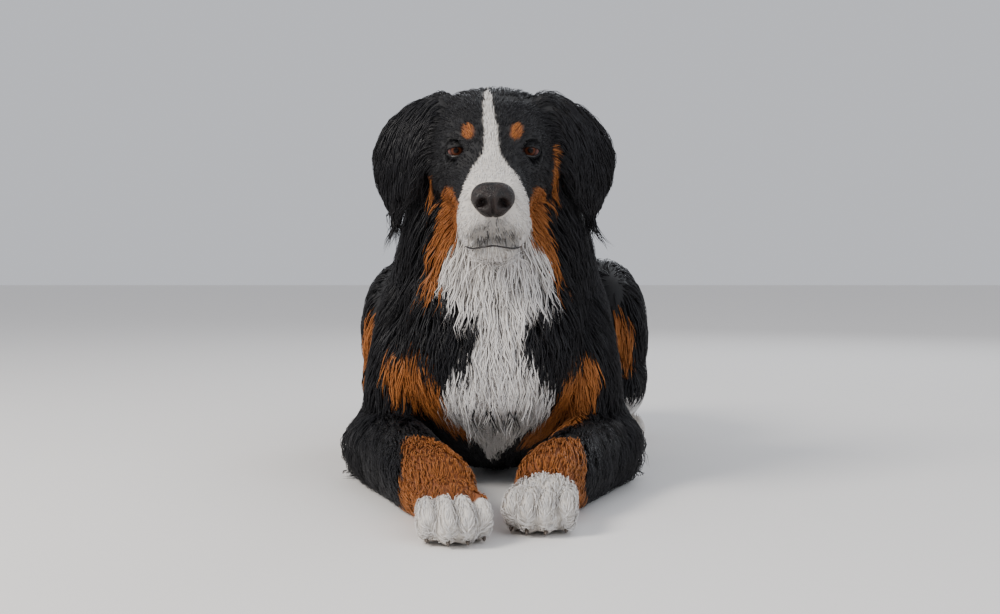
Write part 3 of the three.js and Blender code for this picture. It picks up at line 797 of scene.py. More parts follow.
# %% [markdown]
# Combing comes before growing. Each stroke of the comb says, for one place on the dog's left side, which
# way the hair lies, how long it is, how far it stands off, how much it waves and how wide a tuft is.

# %% Comb strokes
# place, direction, length, lift, wave, width
STROKES = [
    # muzzle and face
    ((0, -372, 372), (0, 0.9, 0.35), 7, 1.6, 0.0, 0.9),
    ((16, -345, 383), (0.25, 0.9, 0.35), 8, 1.8, 0.0, 0.9),
    ((30, -372, 345), (0.45, 0.8, -0.3), 8, 1.8, 0.0, 0.9),
    ((34, -378, 322), (0.4, 0.7, -0.7), 9, 2.0, 0.1, 0.9),
    ((12, -384, 322), (0.3, 0.1, -1), 7, 1.6, 0.0, 0.9),
    ((40, -330, 350), (0.3, 0.95, -0.2), 10, 2.0, 0.1, 0.9),
    ((42, -330, 312), (0.2, 0.8, -0.7), 13, 2.4, 0.2, 1.0),
    ((0, -368, 296), (0.2, 0.5, -0.8), 12, 3.0, 0.3, 1.0),
    ((20, -345, 284), (0.2, 0.6, -0.8), 20, 5.0, 0.6, 1.1),
    ((0, -305, 398), (0.0, 0.6, 0.8), 8, 1.8, 0.0, 0.9),
    ((22, -298, 398), (0.5, 0.7, 0.5), 8, 1.8, 0.0, 0.9),
    ((0, -268, 440), (0.0, 0.5, 0.9), 10, 2.2, 0.1, 1.0),
    ((30, -270, 445), (0.5, 0.4, 0.8), 10, 2.4, 0.1, 1.0),
    ((60, -262, 425), (0.8, 0.7, 0.2), 12, 2.8, 0.2, 1.0),
    ((45, -285, 400), (0.8, 0.6, -0.3), 10, 2.0, 0.1, 0.9),
    ((62, -262, 390), (0.6, 0.8, -0.4), 14, 3.0, 0.3, 1.0),
    ((66, -250, 355), (0.5, 0.7, -0.7), 20, 4.5, 0.6, 1.2),
    ((60, -262, 320), (0.4, 0.6, -0.8), 26, 6.0, 1.0, 1.3),
    ((0, -240, 478), (0.0, 0.8, 0.6), 14, 3.0, 0.3, 1.1),
    ((35, -235, 475), (0.5, 0.7, 0.4), 16, 3.5, 0.4, 1.2),
    ((0, -190, 506), (0.0, 1.0, 0.0), 22, 5.0, 0.6, 1.4),
    ((40, -190, 498), (0.5, 0.8, 0.0), 24, 5.0, 0.8, 1.4),
    ((0, -120, 490), (0.0, 0.9, -0.5), 40, 8.0, 1.5, 1.8),
    # ears
    ((90, -215, 470), (0.6, -0.1, -0.8), 40, 4.0, 2.5, 1.7),
    ((110, -225, 440), (0.3, -0.1, -1), 50, 5.0, 3.0, 1.8),
    ((122, -222, 400), (0.2, 0.0, -1), 55, 6.0, 3.5, 1.8),
    ((124, -215, 365), (0.1, 0.1, -1), 60, 6.0, 4.0, 1.8),
    ((135, -180, 420), (0.3, 0.4, -1), 60, 8.0, 4.0, 1.9),
    ((105, -190, 410), (0.1, 0.1, -1), 30, 3.0, 1.0, 1.4),
    # ruff and neck
    ((80, -200, 400), (0.5, 0.2, -0.9), 60, 12.0, 3.0, 2.0),
    ((95, -215, 345), (0.5, 0.0, -0.9), 80, 16.0, 4.0, 2.2),
    ((110, -205, 290), (0.35, -0.05, -0.95), 90, 18.0, 5.0, 2.3),
    ((0, -250, 300), (0.0, -0.15, -1), 75, 16.0, 6.0, 2.0),
    ((45, -250, 290), (0.25, -0.1, -1), 80, 17.0, 6.0, 2.1),
    ((0, -275, 240), (0.05, -0.1, -1), 90, 17.0, 8.0, 2.1),
    ((50, -265, 235), (0.1, -0.1, -1), 90, 17.0, 7.0, 2.2),
    ((0, -60, 430), (0.0, 0.8, -0.6), 70, 12.0, 3.0, 2.2),
    ((70, -80, 400), (0.4, 0.7, -0.6), 80, 13.0, 3.5, 2.2),
    # chest
    ((0, -278, 190), (0.0, -0.1, -1), 85, 14.0, 8.0, 2.1),
    ((55, -265, 180), (0.05, -0.05, -1), 85, 13.0, 7.0, 2.2),
    ((0, -272, 120), (0.0, 0.1, -1), 75, 12.0, 7.0, 2.1),
    ((60, -250, 110), (-0.1, 0.1, -1), 70, 11.0, 5.0, 2.1),
    ((0, -250, 60), (0.0, 0.5, -0.9), 60, 9.0, 4.0, 2.0),
    # shoulder and upper arm
    ((105, -190, 230), (0.2, 0.15, -1), 75, 11.0, 4.0, 2.3),
    ((150, -180, 170), (0.1, 0.25, -1), 65, 9.0, 3.0, 2.2),
    ((165, -170, 110), (0.1, 0.35, -0.9), 55, 8.0, 3.0, 2.1),
    ((178, -140, 60), (0.5, 0.8, -0.4), 70, 15.0, 3.0, 2.0),
    # forearm and paw
    ((130, -250, 88), (0.1, -0.7, -0.4), 30, 7.0, 1.0, 1.6),
    ((150, -220, 60), (0.3, -0.3, -0.8), 42, 9.0, 1.5, 1.7),
    ((95, -320, 82), (-0.1, -0.9, -0.3), 26, 6.0, 0.8, 1.5),
    ((110, -300, 40), (0.2, -0.5, -0.8), 28, 7.0, 1.0, 1.5),
    ((60, -430, 76), (-0.1, -1, -0.3), 19, 5.0, 0.5, 1.4),
    ((40, -490, 58), (-0.05, -1, -0.4), 15, 3.8, 0.4, 1.3),
    ((38, -545, 30), (0.0, -0.9, -0.6), 11, 2.6, 0.3, 1.1),
    # back and side
    ((0, -20, 366), (0.0, 1, -0.1), 60, 9.0, 2.5, 2.3),
    ((0, 120, 356), (0.0, 1, 0.0), 60, 8.0, 2.5, 2.3),
    ((15, 260, 342), (0.0, 1, -0.1), 62, 8.0, 2.5, 2.3),
    ((15, 360, 300), (0.0, 0.8, -0.7), 75, 10.0, 3.5, 2.3),
    ((90, 0, 320), (0.3, 0.9, -0.35), 65, 9.0, 3.0, 2.3),
    ((95, 130, 310), (0.3, 0.9, -0.35), 65, 9.0, 3.0, 2.3),
    ((140, 0, 220), (0.1, 0.75, -0.65), 70, 10.0, 4.0, 2.4),
    ((145, 100, 210), (0.1, 0.75, -0.65), 70, 10.0, 4.0, 2.4),
    ((135, 20, 110), (0.1, 0.55, -0.8), 75, 10.0, 5.0, 2.4),
    ((130, 60, 40), (0.2, 0.6, -0.7), 60, 9.0, 4.0, 2.3),
    # thigh, shank and hind foot
    ((150, 250, 280), (0.3, 0.5, -0.8), 65, 9.0, 3.5, 2.3),
    ((215, 220, 220), (0.15, 0.35, -1), 62, 9.0, 4.0, 2.3),
    ((210, 290, 160), (0.1, 0.6, -0.8), 70, 10.0, 5.0, 2.3),
    ((195, 140, 180), (0.1, 0.2, -1), 48, 7.0, 3.0, 2.1),
    ((175, 100, 150), (0.0, -0.1, -1), 36, 6.0, 2.0, 1.8),
    ((215, 190, 110), (0.1, 0.3, -1), 50, 7.0, 3.0, 2.0),
    ((190, 300, 90), (0.1, 0.8, -0.6), 50, 8.0, 3.0, 2.0),
    ((205, 270, 45), (0.1, -0.6, -0.7), 20, 3.2, 0.6, 1.3),
    ((205, 190, 40), (0.0, -1, -0.3), 11, 2.2, 0.2, 1.0),
    ((90, 400, 160), (0.1, 0.7, -0.8), 80, 12.0, 5.0, 2.3),
]
TAIL_STROKES = [
    ((15, 420, 190), (0, 0.6, -0.8), 70, 11.0, 4.0, 2.2),
    ((45, 440, 120), (0.4, 0.4, -0.9), 80, 13.0, 5.0, 2.2),
    ((10, 520, 90), (0.1, 0.9, -0.3), 80, 12.0, 5.0, 2.2),
    ((40, 560, 45), (0.6, 0.8, -0.3), 85, 13.0, 6.0, 2.2),
    ((-40, 560, 45), (-0.7, 0.8, -0.3), 85, 13.0, 6.0, 2.2),
    ((-10, 640, 70), (-0.3, 1, -0.1), 80, 12.0, 6.0, 2.2),
    ((30, 640, 40), (0.5, 0.9, -0.2), 80, 13.0, 6.0, 2.2),
    ((-60, 640, 40), (-0.9, 0.6, -0.2), 80, 13.0, 6.0, 2.2),
    ((-60, 720, 50), (-0.5, 0.9, -0.1), 70, 10.0, 5.0, 2.1),
]
print("strokes by hand:", len(STROKES) + len(TAIL_STROKES))

# %% [markdown]
# The right side has the same strokes mirrored, moved with the rump behind the shoulders. Every place
# between the strokes takes a blend of the nearest ones, so the hair turns gently from one to the next.

# %% Blend the strokes


def stroke_table():
    rows = []
    for (x, y, z), (lie_x, lie_y, lie_z), *rest in STROKES:
        rows.append((x, y, z, lie_x, lie_y, lie_z, *rest))
        if abs(x) > 1:
            shift = 2 * RUMP_SHIFT if y > 180 else 0
            rows.append((shift - x, y, z, -lie_x, lie_y, lie_z, *rest))
    rows += [(*place, *lie, *rest) for place, lie, *rest in TAIL_STROKES]
    return np.array(rows)


COMB = stroke_table()
COMB[:, 3:6] = unit(COMB[:, 3:6])


def combed(points, normals):
    """Direction along the surface, length, lift, wave and width of the hair at places on the skin."""
    values = np.zeros((len(points), 7))
    for start in range(0, len(points), 20000):
        part = slice(start, start + 20000)
        gap = ((points[part, None, :] - COMB[None, :, :3]) ** 2).sum(-1)
        weight = 1 / (gap + 120) ** 2.2
        values[part] = weight @ COMB[:, 3:10] / weight.sum(1)[:, None]
    lie = values[:, :3]
    lie = unit(lie - normals * (lie * normals).sum(-1)[:, None])
    return lie, values[:, 3], values[:, 4], values[:, 5], values[:, 6]


print("strokes in all:", len(COMB))

# %% [markdown]
# Roots are scattered over the skin's triangles, each triangle drawn by its area and by how thick the
# coat is there. Hairless places get none: the eyes' openings, the line of the lips and the nose.

# %% Scatter roots


def read_rows(items, label, width, kind=float):
    """One value of many mesh items, as rows of numbers."""
    flat = np.empty(len(items) * width, kind)
    items.foreach_get(label, flat)
    return flat.reshape(-1, width)


skin.data.calc_loop_triangles()
tri = read_rows(skin.data.loop_triangles, "vertices", 3, int)
tri_loops = read_rows(skin.data.loop_triangles, "loops", 3, int)
skin_uv = read_rows(skin.data.uv_layers["OFBake"].data, "uv", 2)
a, b, c = (skin_mm[tri[:, k]] for k in range(3))
tri_cross = np.cross(b - a, c - a)
tri_area = np.linalg.norm(tri_cross, axis=1) / 2
tri_middle = (a + b + c) / 3
tri_normal = unit(tri_cross)
surface = BVHTree.FromPolygons([Vector(v) for v in skin_mm], tri.tolist())
LIP_BARE = 1.3


def bare(points):
    """Whether places are hairless."""
    none = np.zeros(len(points), bool)
    for side in (-1, 1):
        out, along, up = eye_axes(side)
        q = points - eye_centre(side)
        none |= (lid_gap(q @ along, q @ up) < 1.6) & (q @ out > -4) & (np.linalg.norm(q, axis=1) < 24)
    h = from_head(points)
    none |= (h[:, 1] < -112) & (np.hypot(h[:, 0] / 24, (h[:, 2] + 35) / 19) < 1)
    for i in np.flatnonzero((h[:, 1] < 5) & (h[:, 2] < -70) & (h[:, 2] > -112)):
        none[i] |= mouth_tree.find(h[i])[2] < LIP_BARE
    return none


def scatter(density, count, seed):
    """Roots where density isn't 0: their places, outward directions and places on the unwrap."""
    r = np.random.default_rng(seed)
    weight = tri_area * density(tri_middle) * (tri_middle[:, 2] > 6)
    picked = r.choice(len(tri), count, p=weight / weight.sum())
    u, v = r.random(count), r.random(count)
    over = u + v > 1
    u, v = np.where(over, 1 - u, u), np.where(over, 1 - v, v)
    w = 1 - u - v
    share = np.stack([w, u, v], -1)[:, :, None]
    place = (skin_mm[tri[picked]] * share).sum(1)
    patch = (skin_uv[tri_loops[picked]] * share).sum(1)
    keep = ~bare(place)
    return place[keep], tri_normal[picked][keep], patch[keep]


print("roots can grow on", len(tri), "triangles of skin")

# %% [markdown]
# A tuft starts just under the skin, follows the comb over the surface, lifts off it and sinks again to
# lie on the tufts beyond. Its path is found in a few steps, each put back near the skin, so that hair
# flows round a leg instead of sticking out of it. Particle hair would do this too, but it isn't mesh.

# %% March over the skin
STEPS = 4
ROOT_DEPTH = 1.2
RISE = (0.55, 0.95, 1.0, 0.85)


def march(place, normal, length, lift, seed, droop):
    """Paths of tufts over the skin, as (tuft, step, xyz), with the outward direction at each step."""
    r = np.random.default_rng(seed)
    count = len(place)
    lie, *_ = combed(place, normal)
    turn = r.normal(0, 0.09, count)[:, None]
    lie = unit(lie + np.cross(normal, lie) * turn)
    paths = np.empty((count, STEPS + 1, 3))
    outs = np.empty((count, STEPS + 1, 3))
    base = place.copy()
    paths[:, 0] = place - normal * ROOT_DEPTH
    outs[:, 0] = normal
    step = (length / STEPS)[:, None]
    for k in range(1, STEPS + 1):
        ahead = base + lie * step
        found = np.empty((count, 3))
        facing = np.empty((count, 3))
        for i in range(count):
            found[i], facing[i], *_ = surface.find_nearest(ahead[i])
        off = np.linalg.norm(ahead - found, axis=1)
        loose = smooth(5, 22, off)[:, None]
        base = found * (1 - loose) + ahead * loose
        normal = unit(normal * 0.35 + facing * (1 - loose) * 0.65 + normal * loose * 0.65)
        fresh, *_ = combed(base, normal)
        lie = unit(lie * 0.55 + fresh * 0.45 + np.array([0, 0, -1.0]) * (droop * k / STEPS))
        lie = unit(lie - normal * np.minimum(0, (lie * normal).sum(-1))[:, None])
        paths[:, k] = base + normal * (lift * RISE[k - 1])[:, None]
        outs[:, k] = normal
    return paths, outs


print("a tuft has", STEPS + 1, "places along its path")

# %% [markdown]
# Neighbours are drawn together towards their tips, which gives the locks. Each tuft is then a closed blade
# with three long faces that narrows to a point, so it has thickness from all sides. Flat cards with a
# picture of hair are cheaper, but they carry an image and vanish from the side.

# %% Locks and blades


def clump(paths, roots, every, pull, seed):
    """Draws tufts towards the nearest of a few chosen ones, more towards the tips."""
    r = np.random.default_rng(seed)
    count = len(paths)
    leaders = r.choice(count, max(1, count // every), replace=False)
    lookup = nearest_of(roots[leaders])
    owner = np.array([leaders[lookup.find(root)[1]] for root in roots])
    t = np.linspace(0, 1, paths.shape[1])
    share = (pull * t**1.4)[None, :, None]
    return paths + (paths[owner] - paths) * share * r.uniform(0.75, 1, count)[:, None, None], owner


def blades(paths, outs, width, flat=0.35):
    """Corners and faces of closed three-sided blades along the paths."""
    count, rows = paths.shape[:2]
    tangent = unit(np.gradient(paths, axis=1))
    across = unit(np.cross(tangent, outs))
    ridge = unit(np.cross(across, tangent))
    t = np.linspace(0, 1, rows)
    taper = np.sqrt(np.maximum(0.0, 1 - t**2.2)) * (0.6 + 0.4 * np.sin(np.pi * np.minimum(1, t * 1.5)))
    half = width[:, None] / 2 * taper[None, :]
    left = paths + across * half[..., None]
    right = paths - across * half[..., None]
    top = paths + ridge * (half * 2 * flat)[..., None]
    ring = np.stack([left, top, right], 2)[:, :-1]
    body = ring.reshape(count, -1, 3)
    verts = np.concatenate([body, paths[:, -1:]], 1)
    per = verts.shape[1]
    sides = [(0, 1), (1, 2), (2, 0)]
    quads = [(k + i, k + j, k + 3 + j, k + 3 + i) for k in range(0, 3 * rows - 6, 3) for i, j in sides]
    last = 3 * (rows - 2)
    tris = [(last + i, last + j, per - 1) for i, j in sides] + [(2, 1, 0)]
    start = (np.arange(count) * per)[:, None, None]
    quads = (np.array(quads)[None] + start).reshape(-1, 4)
    tris = (np.array(tris)[None] + start).reshape(-1, 3)
    return verts.reshape(-1, 3), quads, tris, per


PER_TUFT = 2 * 3 * (STEPS - 1) + 4
print("a tuft has", PER_TUFT, "triangles")

# %% [markdown]
# Operators would take minutes for so many small faces, so the corners and faces of a whole piece of coat
# are handed over at once. Each corner also carries values that the shader reads: how white and how tan
# the hair is, how far along the tuft it lies, and a number that makes each tuft a little different.

# %% Grow one piece of the coat


def mesh_of(name, verts, quads, tris):
    mesh = bpy.data.meshes.new(name)
    mesh.vertices.add(len(verts))
    mesh.vertices.foreach_set("co", np.asarray(verts, np.float32).ravel())
    loops = np.concatenate([quads.ravel(), tris.ravel()]).astype(np.int32)
    mesh.loops.add(len(loops))
    mesh.loops.foreach_set("vertex_index", loops)
    starts = np.concatenate([np.arange(len(quads)) * 4, len(quads) * 4 + np.arange(len(tris)) * 3])
    mesh.polygons.add(len(quads) + len(tris))
    mesh.polygons.foreach_set("loop_start", starts.astype(np.int32))
    mesh.polygons.foreach_set("use_smooth", np.ones(len(starts), bool))
    mesh.update(calc_edges=True)
    obj = bpy.data.objects.new(name, mesh)
    bpy.context.scene.collection.objects.link(obj)
    return obj, loops


WAVE_LENGTH = 42
LOWEST_HAIR = 2.0
PATCH_HALF = 0.0015


def grow(name, density, count, seed, every, pull, droop, scale):
    """One piece of the coat. every is the tufts in a lock, and pull how tightly they gather."""
    place, normal, patch = scatter(density, count, seed)
    r = np.random.default_rng(seed + 1)
    _, length, lift, wave, width = combed(place, normal)
    count = len(place)
    length = length * r.uniform(0.7, 1.15, count)
    lift = lift * r.uniform(0.35, 1.1, count)
    paths, outs = march(place, normal, length, lift, seed + 2, droop)
    paths, owner = clump(paths, place, every, pull, seed + 3)
    t = np.linspace(0, 1, STEPS + 1)
    phase = r.uniform(0, FULL_TURN, count)[owner] + r.normal(0, 0.5, count)
    tangent = unit(np.gradient(paths, axis=1))
    across = np.cross(tangent, outs)
    turns = (length / WAVE_LENGTH * FULL_TURN)[:, None]
    swing = np.sin(phase[:, None] + t[None] * turns) - np.sin(phase)[:, None]
    paths = paths + across * (swing * (wave * 0.8)[:, None] * t[None])[..., None]
    paths[:, 1:, 2] = np.maximum(paths[:, 1:, 2], LOWEST_HAIR + r.uniform(0, 4, count)[:, None])
    verts, quads, tris, per = blades(paths, outs, width * scale * r.uniform(0.7, 1.25, count))
    obj, loops = mesh_of(name, verts * MM + SHIFT, quads, tris)
    white, tan, soot = markings(paths[:, STEPS // 2])
    toss = r.uniform(-0.5, 0.5, count)
    white = np.clip((white - 0.5) * 3 + 0.5 + toss * 0.5, 0, 1) * (1 - soot * r.uniform(0.3, 1.0, count))
    tan = np.clip((tan - 0.5) * 3 + 0.5 + toss * 0.6, 0, 1)
    mark(obj, white=np.repeat(white, per), tan=np.repeat(tan, per))
    tip = np.append(np.repeat(t[:-1], 3), 1.0)
    breadth = np.append(np.tile([-1.0, 0, 1.0], STEPS), 0)
    own_toss = np.repeat(r.random(count), per)
    mark(obj, tip=np.tile(tip, count), toss=own_toss, breadth=np.tile(breadth, count))
    spread = np.stack([breadth, tip * 2 - 1], -1)
    uv = np.repeat(patch, per, 0) + np.tile(spread, (count, 1)) * PATCH_HALF
    layer = obj.data.uv_layers.new(name="OFBake")
    layer.data.foreach_set("uv", uv[loops].astype(np.float32).ravel())
    print(name, count, "tufts,", count * PER_TUFT, "triangles")
    coat.append(obj)


coat = []

# %% [markdown]
# The coat is shared out among nine pieces, by where a root lies, so that none grows past a set number of
# triangles.
# The face has the shortest hair, the ruff and the chest the longest, and the short hair of the forelegs
# is set about twice as close towards the paws.

# %% Grow the coat


def in_face(p):
    forward, up = from_head(p)[:, 1:].T
    return (forward < 36) & (up > -118) & (p[:, 1] < -232) & (np.abs(p[:, 0]) < 84)


def in_ears(p):
    return (np.abs(p[:, 0]) > 80) & (p[:, 2] > 335) & (p[:, 1] < -150) & ~in_face(p)


def in_ruff(p):
    return (p[:, 2] > 205) & (p[:, 1] < -20) & ~in_face(p) & ~in_ears(p)


def in_front(p):
    return (p[:, 2] <= 205) & (p[:, 1] < -100) & (np.abs(p[:, 0]) < 105) & ~in_arms(p)


def in_arms(p):
    outside = np.abs(p[:, 0]) >= 105
    on_floor = (p[:, 2] < 96) & (p[:, 1] < -275)
    return (p[:, 1] < -60) & (p[:, 2] <= 205) & (outside | on_floor)


def in_tail(p):
    return (p[:, 1] > 425) | ((p[:, 1] > 400) & (p[:, 2] > 180))


def in_side(p, side):
    rest = ~in_face(p) & ~in_ears(p) & ~in_ruff(p) & ~in_front(p) & ~in_arms(p) & ~in_tail(p)
    return rest & (np.sign(p[:, 0] - 8) == side)


def in_forelegs(p):
    return in_arms(p) & (p[:, 1] < -215) & (p[:, 2] < LEG_TOP)


def on_upper_arms(p):
    return in_arms(p) & ~in_forelegs(p)


def on_forelegs(p):
    return in_forelegs(p) * np.where(p[:, 1] < -330, 2.2, 1.0)


def on_left_side(p):
    return in_side(p, 1)


def on_right_side(p):
    return in_side(p, -1)


# name, region, share of the tufts, seed, tufts in a lock, pull, droop, width
COAT_PIECES = [
    ("coat_face", in_face, 1.0, 100, 5, 0.35, 0.02, 1.0),
    ("coat_ears", in_ears, 0.68, 200, 9, 0.7, 0.3, 1.0),
    ("coat_ruff", in_ruff, 1.0, 300, 9, 0.65, 0.3, 1.0),
    ("coat_chest", in_front, 1.0, 400, 8, 0.6, 0.2, 0.9),
    ("coat_upper_arms", on_upper_arms, 0.6, 450, 10, 0.7, 0.15, 1.0),
    ("coat_forelegs", on_forelegs, 1.0, 500, 6, 0.4, 0.02, 1.0),
    ("coat_left_side", on_left_side, 0.95, 600, 12, 0.7, 0.25, 1.25),
    ("coat_right_side", on_right_side, 0.95, 700, 12, 0.7, 0.25, 1.25),
    ("coat_tail", in_tail, 0.5, 800, 12, 0.75, 0.25, 1.2),
]
MOST_TRIANGLES = 195000
thin = 1.0
full = int(MOST_TRIANGLES / PER_TUFT * thin)
for name, density, share, *ways in COAT_PIECES:
    grow(name, density, int(full * share), *ways)

# %% [markdown]
# Shader maths reads best as plain arithmetic, so one small class wraps a socket and lets + - * build the
# Math nodes. Every other node comes from one method that takes its type, settings and inputs.

# %% Shader helper


class Wire:
    """A value in a material's node tree."""

    def __init__(self, tree, socket):
        self.tree = tree
        self.socket = socket

    def node(self, kind, settings=None, out=0, **inputs):
        """A node whose sockets are given by name, or by number as _0, _1 and so on."""
        made = self.tree.nodes.new(kind)
        for key, value in (settings or {}).items():
            if key == "stops":
                ramp = made.color_ramp
                while len(ramp.elements) < len(value):
                    ramp.elements.new(0.5)
                for element, (at, colour) in zip(ramp.elements, value):
                    element.position = at
                    element.color = colour
            else:
                setattr(made, key, value)
        for key, value in inputs.items():
            number = key.removeprefix("_")
            socket = made.inputs[int(number) if number.isdigit() else key.replace("_", " ")]
            if isinstance(value, Wire):
                self.tree.links.new(value.socket, socket)
            else:
                socket.default_value = value
        return Wire(self.tree, made.outputs[out])

    def maths(self, operation, other=0.0, flip=False):
        a, b = (other, self) if flip else (self, other)
        return self.node("ShaderNodeMath", {"operation": operation}, _0=a, _1=b)

    def __add__(self, other):
        return self.maths("ADD", other)

    __radd__ = __add__

    def __sub__(self, other):
        return self.maths("SUBTRACT", other)

    def __rsub__(self, other):
        return self.maths("SUBTRACT", other, True)

    def __mul__(self, other):
        return self.maths("MULTIPLY", other)

    __rmul__ = __mul__

    def blend(self, low, high):
        """Colour low where this is 0 and high where it is 1."""
        return self.node("ShaderNodeMix", {"data_type": "RGBA"}, out=2, _0=self, _6=low, _7=high)

    def between(self, low, high, start=0.0, end=1.0):
        return self.node("ShaderNodeMapRange", None, _0=self, _1=low, _2=high, _3=start, _4=end)


def new_material(name, **constants):
    """A material, its main shader and a wire to start from."""
    material = bpy.data.materials.new(name)
    material.use_nodes = True
    shader = material.node_tree.nodes["Principled BSDF"]
    for key, value in constants.items():
        shader.inputs[key.replace("_", " ")].default_value = value
    return material, shader, Wire(material.node_tree, None)


def feed(shader, name, wire):
    wire.tree.links.new(wire.socket, shader.inputs[name])


def colour(r, g, b):
    return (r, g, b, 1.0)


print("shader helper ready")

# %% [markdown]
# Black hair is never quite black: it lifts to a cool grey at the tips and where light grazes it. All three
# colours are painted darker towards the roots as painted shade deep in the coat, and the white is also
# warmer there. A noise along each tuft gives single strands.

# %% Coat and skin finishes
# the root colours are darker than the tips: painted shade deep in the coat
BLACK_SHADED_ROOT = colour(0.004, 0.0038, 0.0045)
BLACK_TIP = colour(0.013, 0.0125, 0.015)
RUST_SHADED_ROOT = colour(0.17, 0.046, 0.009)
RUST_TIP = colour(0.46, 0.165, 0.042)
WHITE_SHADED_ROOT = colour(0.56, 0.52, 0.47)
WHITE_TIP = colour(0.85, 0.83, 0.82)


def coat_colour(kit, along):
    """The three coat colours by their masks, darker at the root as painted shade. along is 0 at the root and
    1 at the tip.
    """
    white = kit.node("ShaderNodeAttribute", {"attribute_name": "white"}, out=2)
    tan = kit.node("ShaderNodeAttribute", {"attribute_name": "tan"}, out=2)
    # each colour is darkened towards the root end: painted shade inside the coat
    black = along.blend(BLACK_SHADED_ROOT, BLACK_TIP)
    rust = along.blend(RUST_SHADED_ROOT, RUST_TIP)
    pale = along.blend(WHITE_SHADED_ROOT, WHITE_TIP)
    return white.blend(tan.blend(black, rust), pale), white


coat_material, shader, kit = new_material("coat", Roughness=0.5, Specular_IOR_Level=0.26)
tip = kit.node("ShaderNodeAttribute", {"attribute_name": "tip"}, out=2)
toss = kit.node("ShaderNodeAttribute", {"attribute_name": "toss"}, out=2)
breadth = kit.node("ShaderNodeAttribute", {"attribute_name": "breadth"}, out=2)
beside = breadth * 2.6 + toss * 61
strand_place = kit.node("ShaderNodeCombineXYZ", None, X=beside, Y=toss * 83, Z=tip * 0.7)
strands = kit.node("ShaderNodeTexNoise", None, Vector=strand_place, Scale=1.0, Detail=2.0)
# the rise from root to tip is painted shade in the coat; toss and the strand noise vary each tuft's tone
root_shade_and_tone = tip.between(0, 0.7) * 0.45 + toss * 0.3 + strands.between(0.3, 0.7) * 0.5
hair_colour, white = coat_colour(kit, root_shade_and_tone - 0.12)
feed(shader, "Base Color", hair_colour)
feed(shader, "Roughness", white * 0.18 + (toss * 0.14 + 0.36))

skin_material, shader, kit = new_material("skin", Roughness=0.75)
place = kit.node("ShaderNodeTexCoord", out=3)
fleck = kit.node("ShaderNodeTexNoise", None, Vector=place, Scale=300.0, Detail=3.0)
# the skin takes the coat's darker root colours: painted shade under the hair, over the markings' own colours
under, _ = coat_colour(kit, fleck * 0.2)
feed(shader, "Base Color", under)
feed(shader, "Normal", kit.node("ShaderNodeBump", None, Height=fleck, Distance=0.0006, Strength=0.6))

move_corners(skin, corners(skin) + SHIFT)
skin.data.materials.clear()
skin.data.materials.append(skin_material)
for piece in coat:
    piece.data.materials.append(coat_material)
    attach(piece, "root")
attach(skin, "root")
flesh_nodes = [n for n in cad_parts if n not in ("nose", "left_eye", "right_eye")]
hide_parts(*flesh_nodes)
print("the skin stands for", len(flesh_nodes), "solids under", len(coat), "pieces of coat")

# %% [markdown]
# An eye is a wet ball. The iris is a warm red-brown ring around a wide pupil, with a darker rim, and
# the white shows only as a thin, veined crescent. How far a place is from the middle of the pupil gives
# its colour.

# %% Eyes
SEEN_IRIS = 7.6
SEEN_PUPIL = 3.4
SEEN_WHITE = 12
# distance from the middle of the pupil in millimetres, and the colour there
EYE_RINGS = [
    (0, colour(0.003, 0.002, 0.002)),
    (SEEN_PUPIL, colour(0.003, 0.002, 0.002)),
    (SEEN_PUPIL + 0.8, colour(0.055, 0.016, 0.008)),
    (SEEN_IRIS - 1.4, colour(0.105, 0.032, 0.015)),
    (SEEN_IRIS, colour(0.012, 0.006, 0.005)),
    (SEEN_IRIS + 1.2, colour(0.10, 0.045, 0.04)),
    (SEEN_WHITE, colour(0.20, 0.10, 0.09)),
]


def gaze_of(side):
    return unit(np.array([side * 0.09, -1.0, -0.12]))


def eye_material(name, side):
    material, shader, kit = new_material(name, Roughness=0.06, Specular_IOR_Level=0.13)
    middle = tuple((eye_centre(side) + gaze_of(side) * EYE_RADIUS) * MM + SHIFT)
    place = kit.node("ShaderNodeTexCoord", out=3)
    gap = kit.node("ShaderNodeVectorMath", {"operation": "DISTANCE"}, out=1, _0=place, _1=middle)
    streaks = kit.node("ShaderNodeTexNoise", None, Vector=place, Scale=700.0, Detail=4.0)
    from_pupil = (gap * (1 / MM) + streaks * 1.2) * (1 / SEEN_WHITE)
    stops = [(at / SEEN_WHITE, tint) for at, tint in EYE_RINGS]
    feed(shader, "Base Color", kit.node("ShaderNodeValToRGB", {"stops": stops}, _0=from_pupil))
    return material


for side, name in ((1, "left_eye"), (-1, "right_eye")):
    ball = new_ball(48, 32)
    ball.name = name + "_ball"
    p = corners(ball)
    cornea = np.exp(-((np.linalg.norm(p - gaze_of(side), axis=1) / 0.5) ** 2)) * 0.05
    move_corners(ball, (p * (1 + cornea)[:, None] * EYE_RADIUS + eye_centre(side)) * MM + SHIFT)
    bpy.ops.object.shade_smooth()
    ball.data.materials.append(eye_material(name, side))
    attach(ball, "root")
    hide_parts(name)
print("eyes:", 2 * EYE_RADIUS, "mm across, irises", 2 * SEEN_IRIS)

# %% [markdown]
# The lids end in a dark, moist rim that touches the eyeball. A ring of wire laid round the opening would
# do it, so a torus is bent to the almond shape of the lids.

# %% Lid rims


def face_out(obj):
    """Turns all faces of a closed mesh outwards."""
    only(obj)
    bpy.ops.object.mode_set(mode="EDIT")
    bpy.ops.mesh.select_all(action="SELECT")
    bpy.ops.mesh.normals_make_consistent(inside=False)
    bpy.ops.object.mode_set(mode="OBJECT")


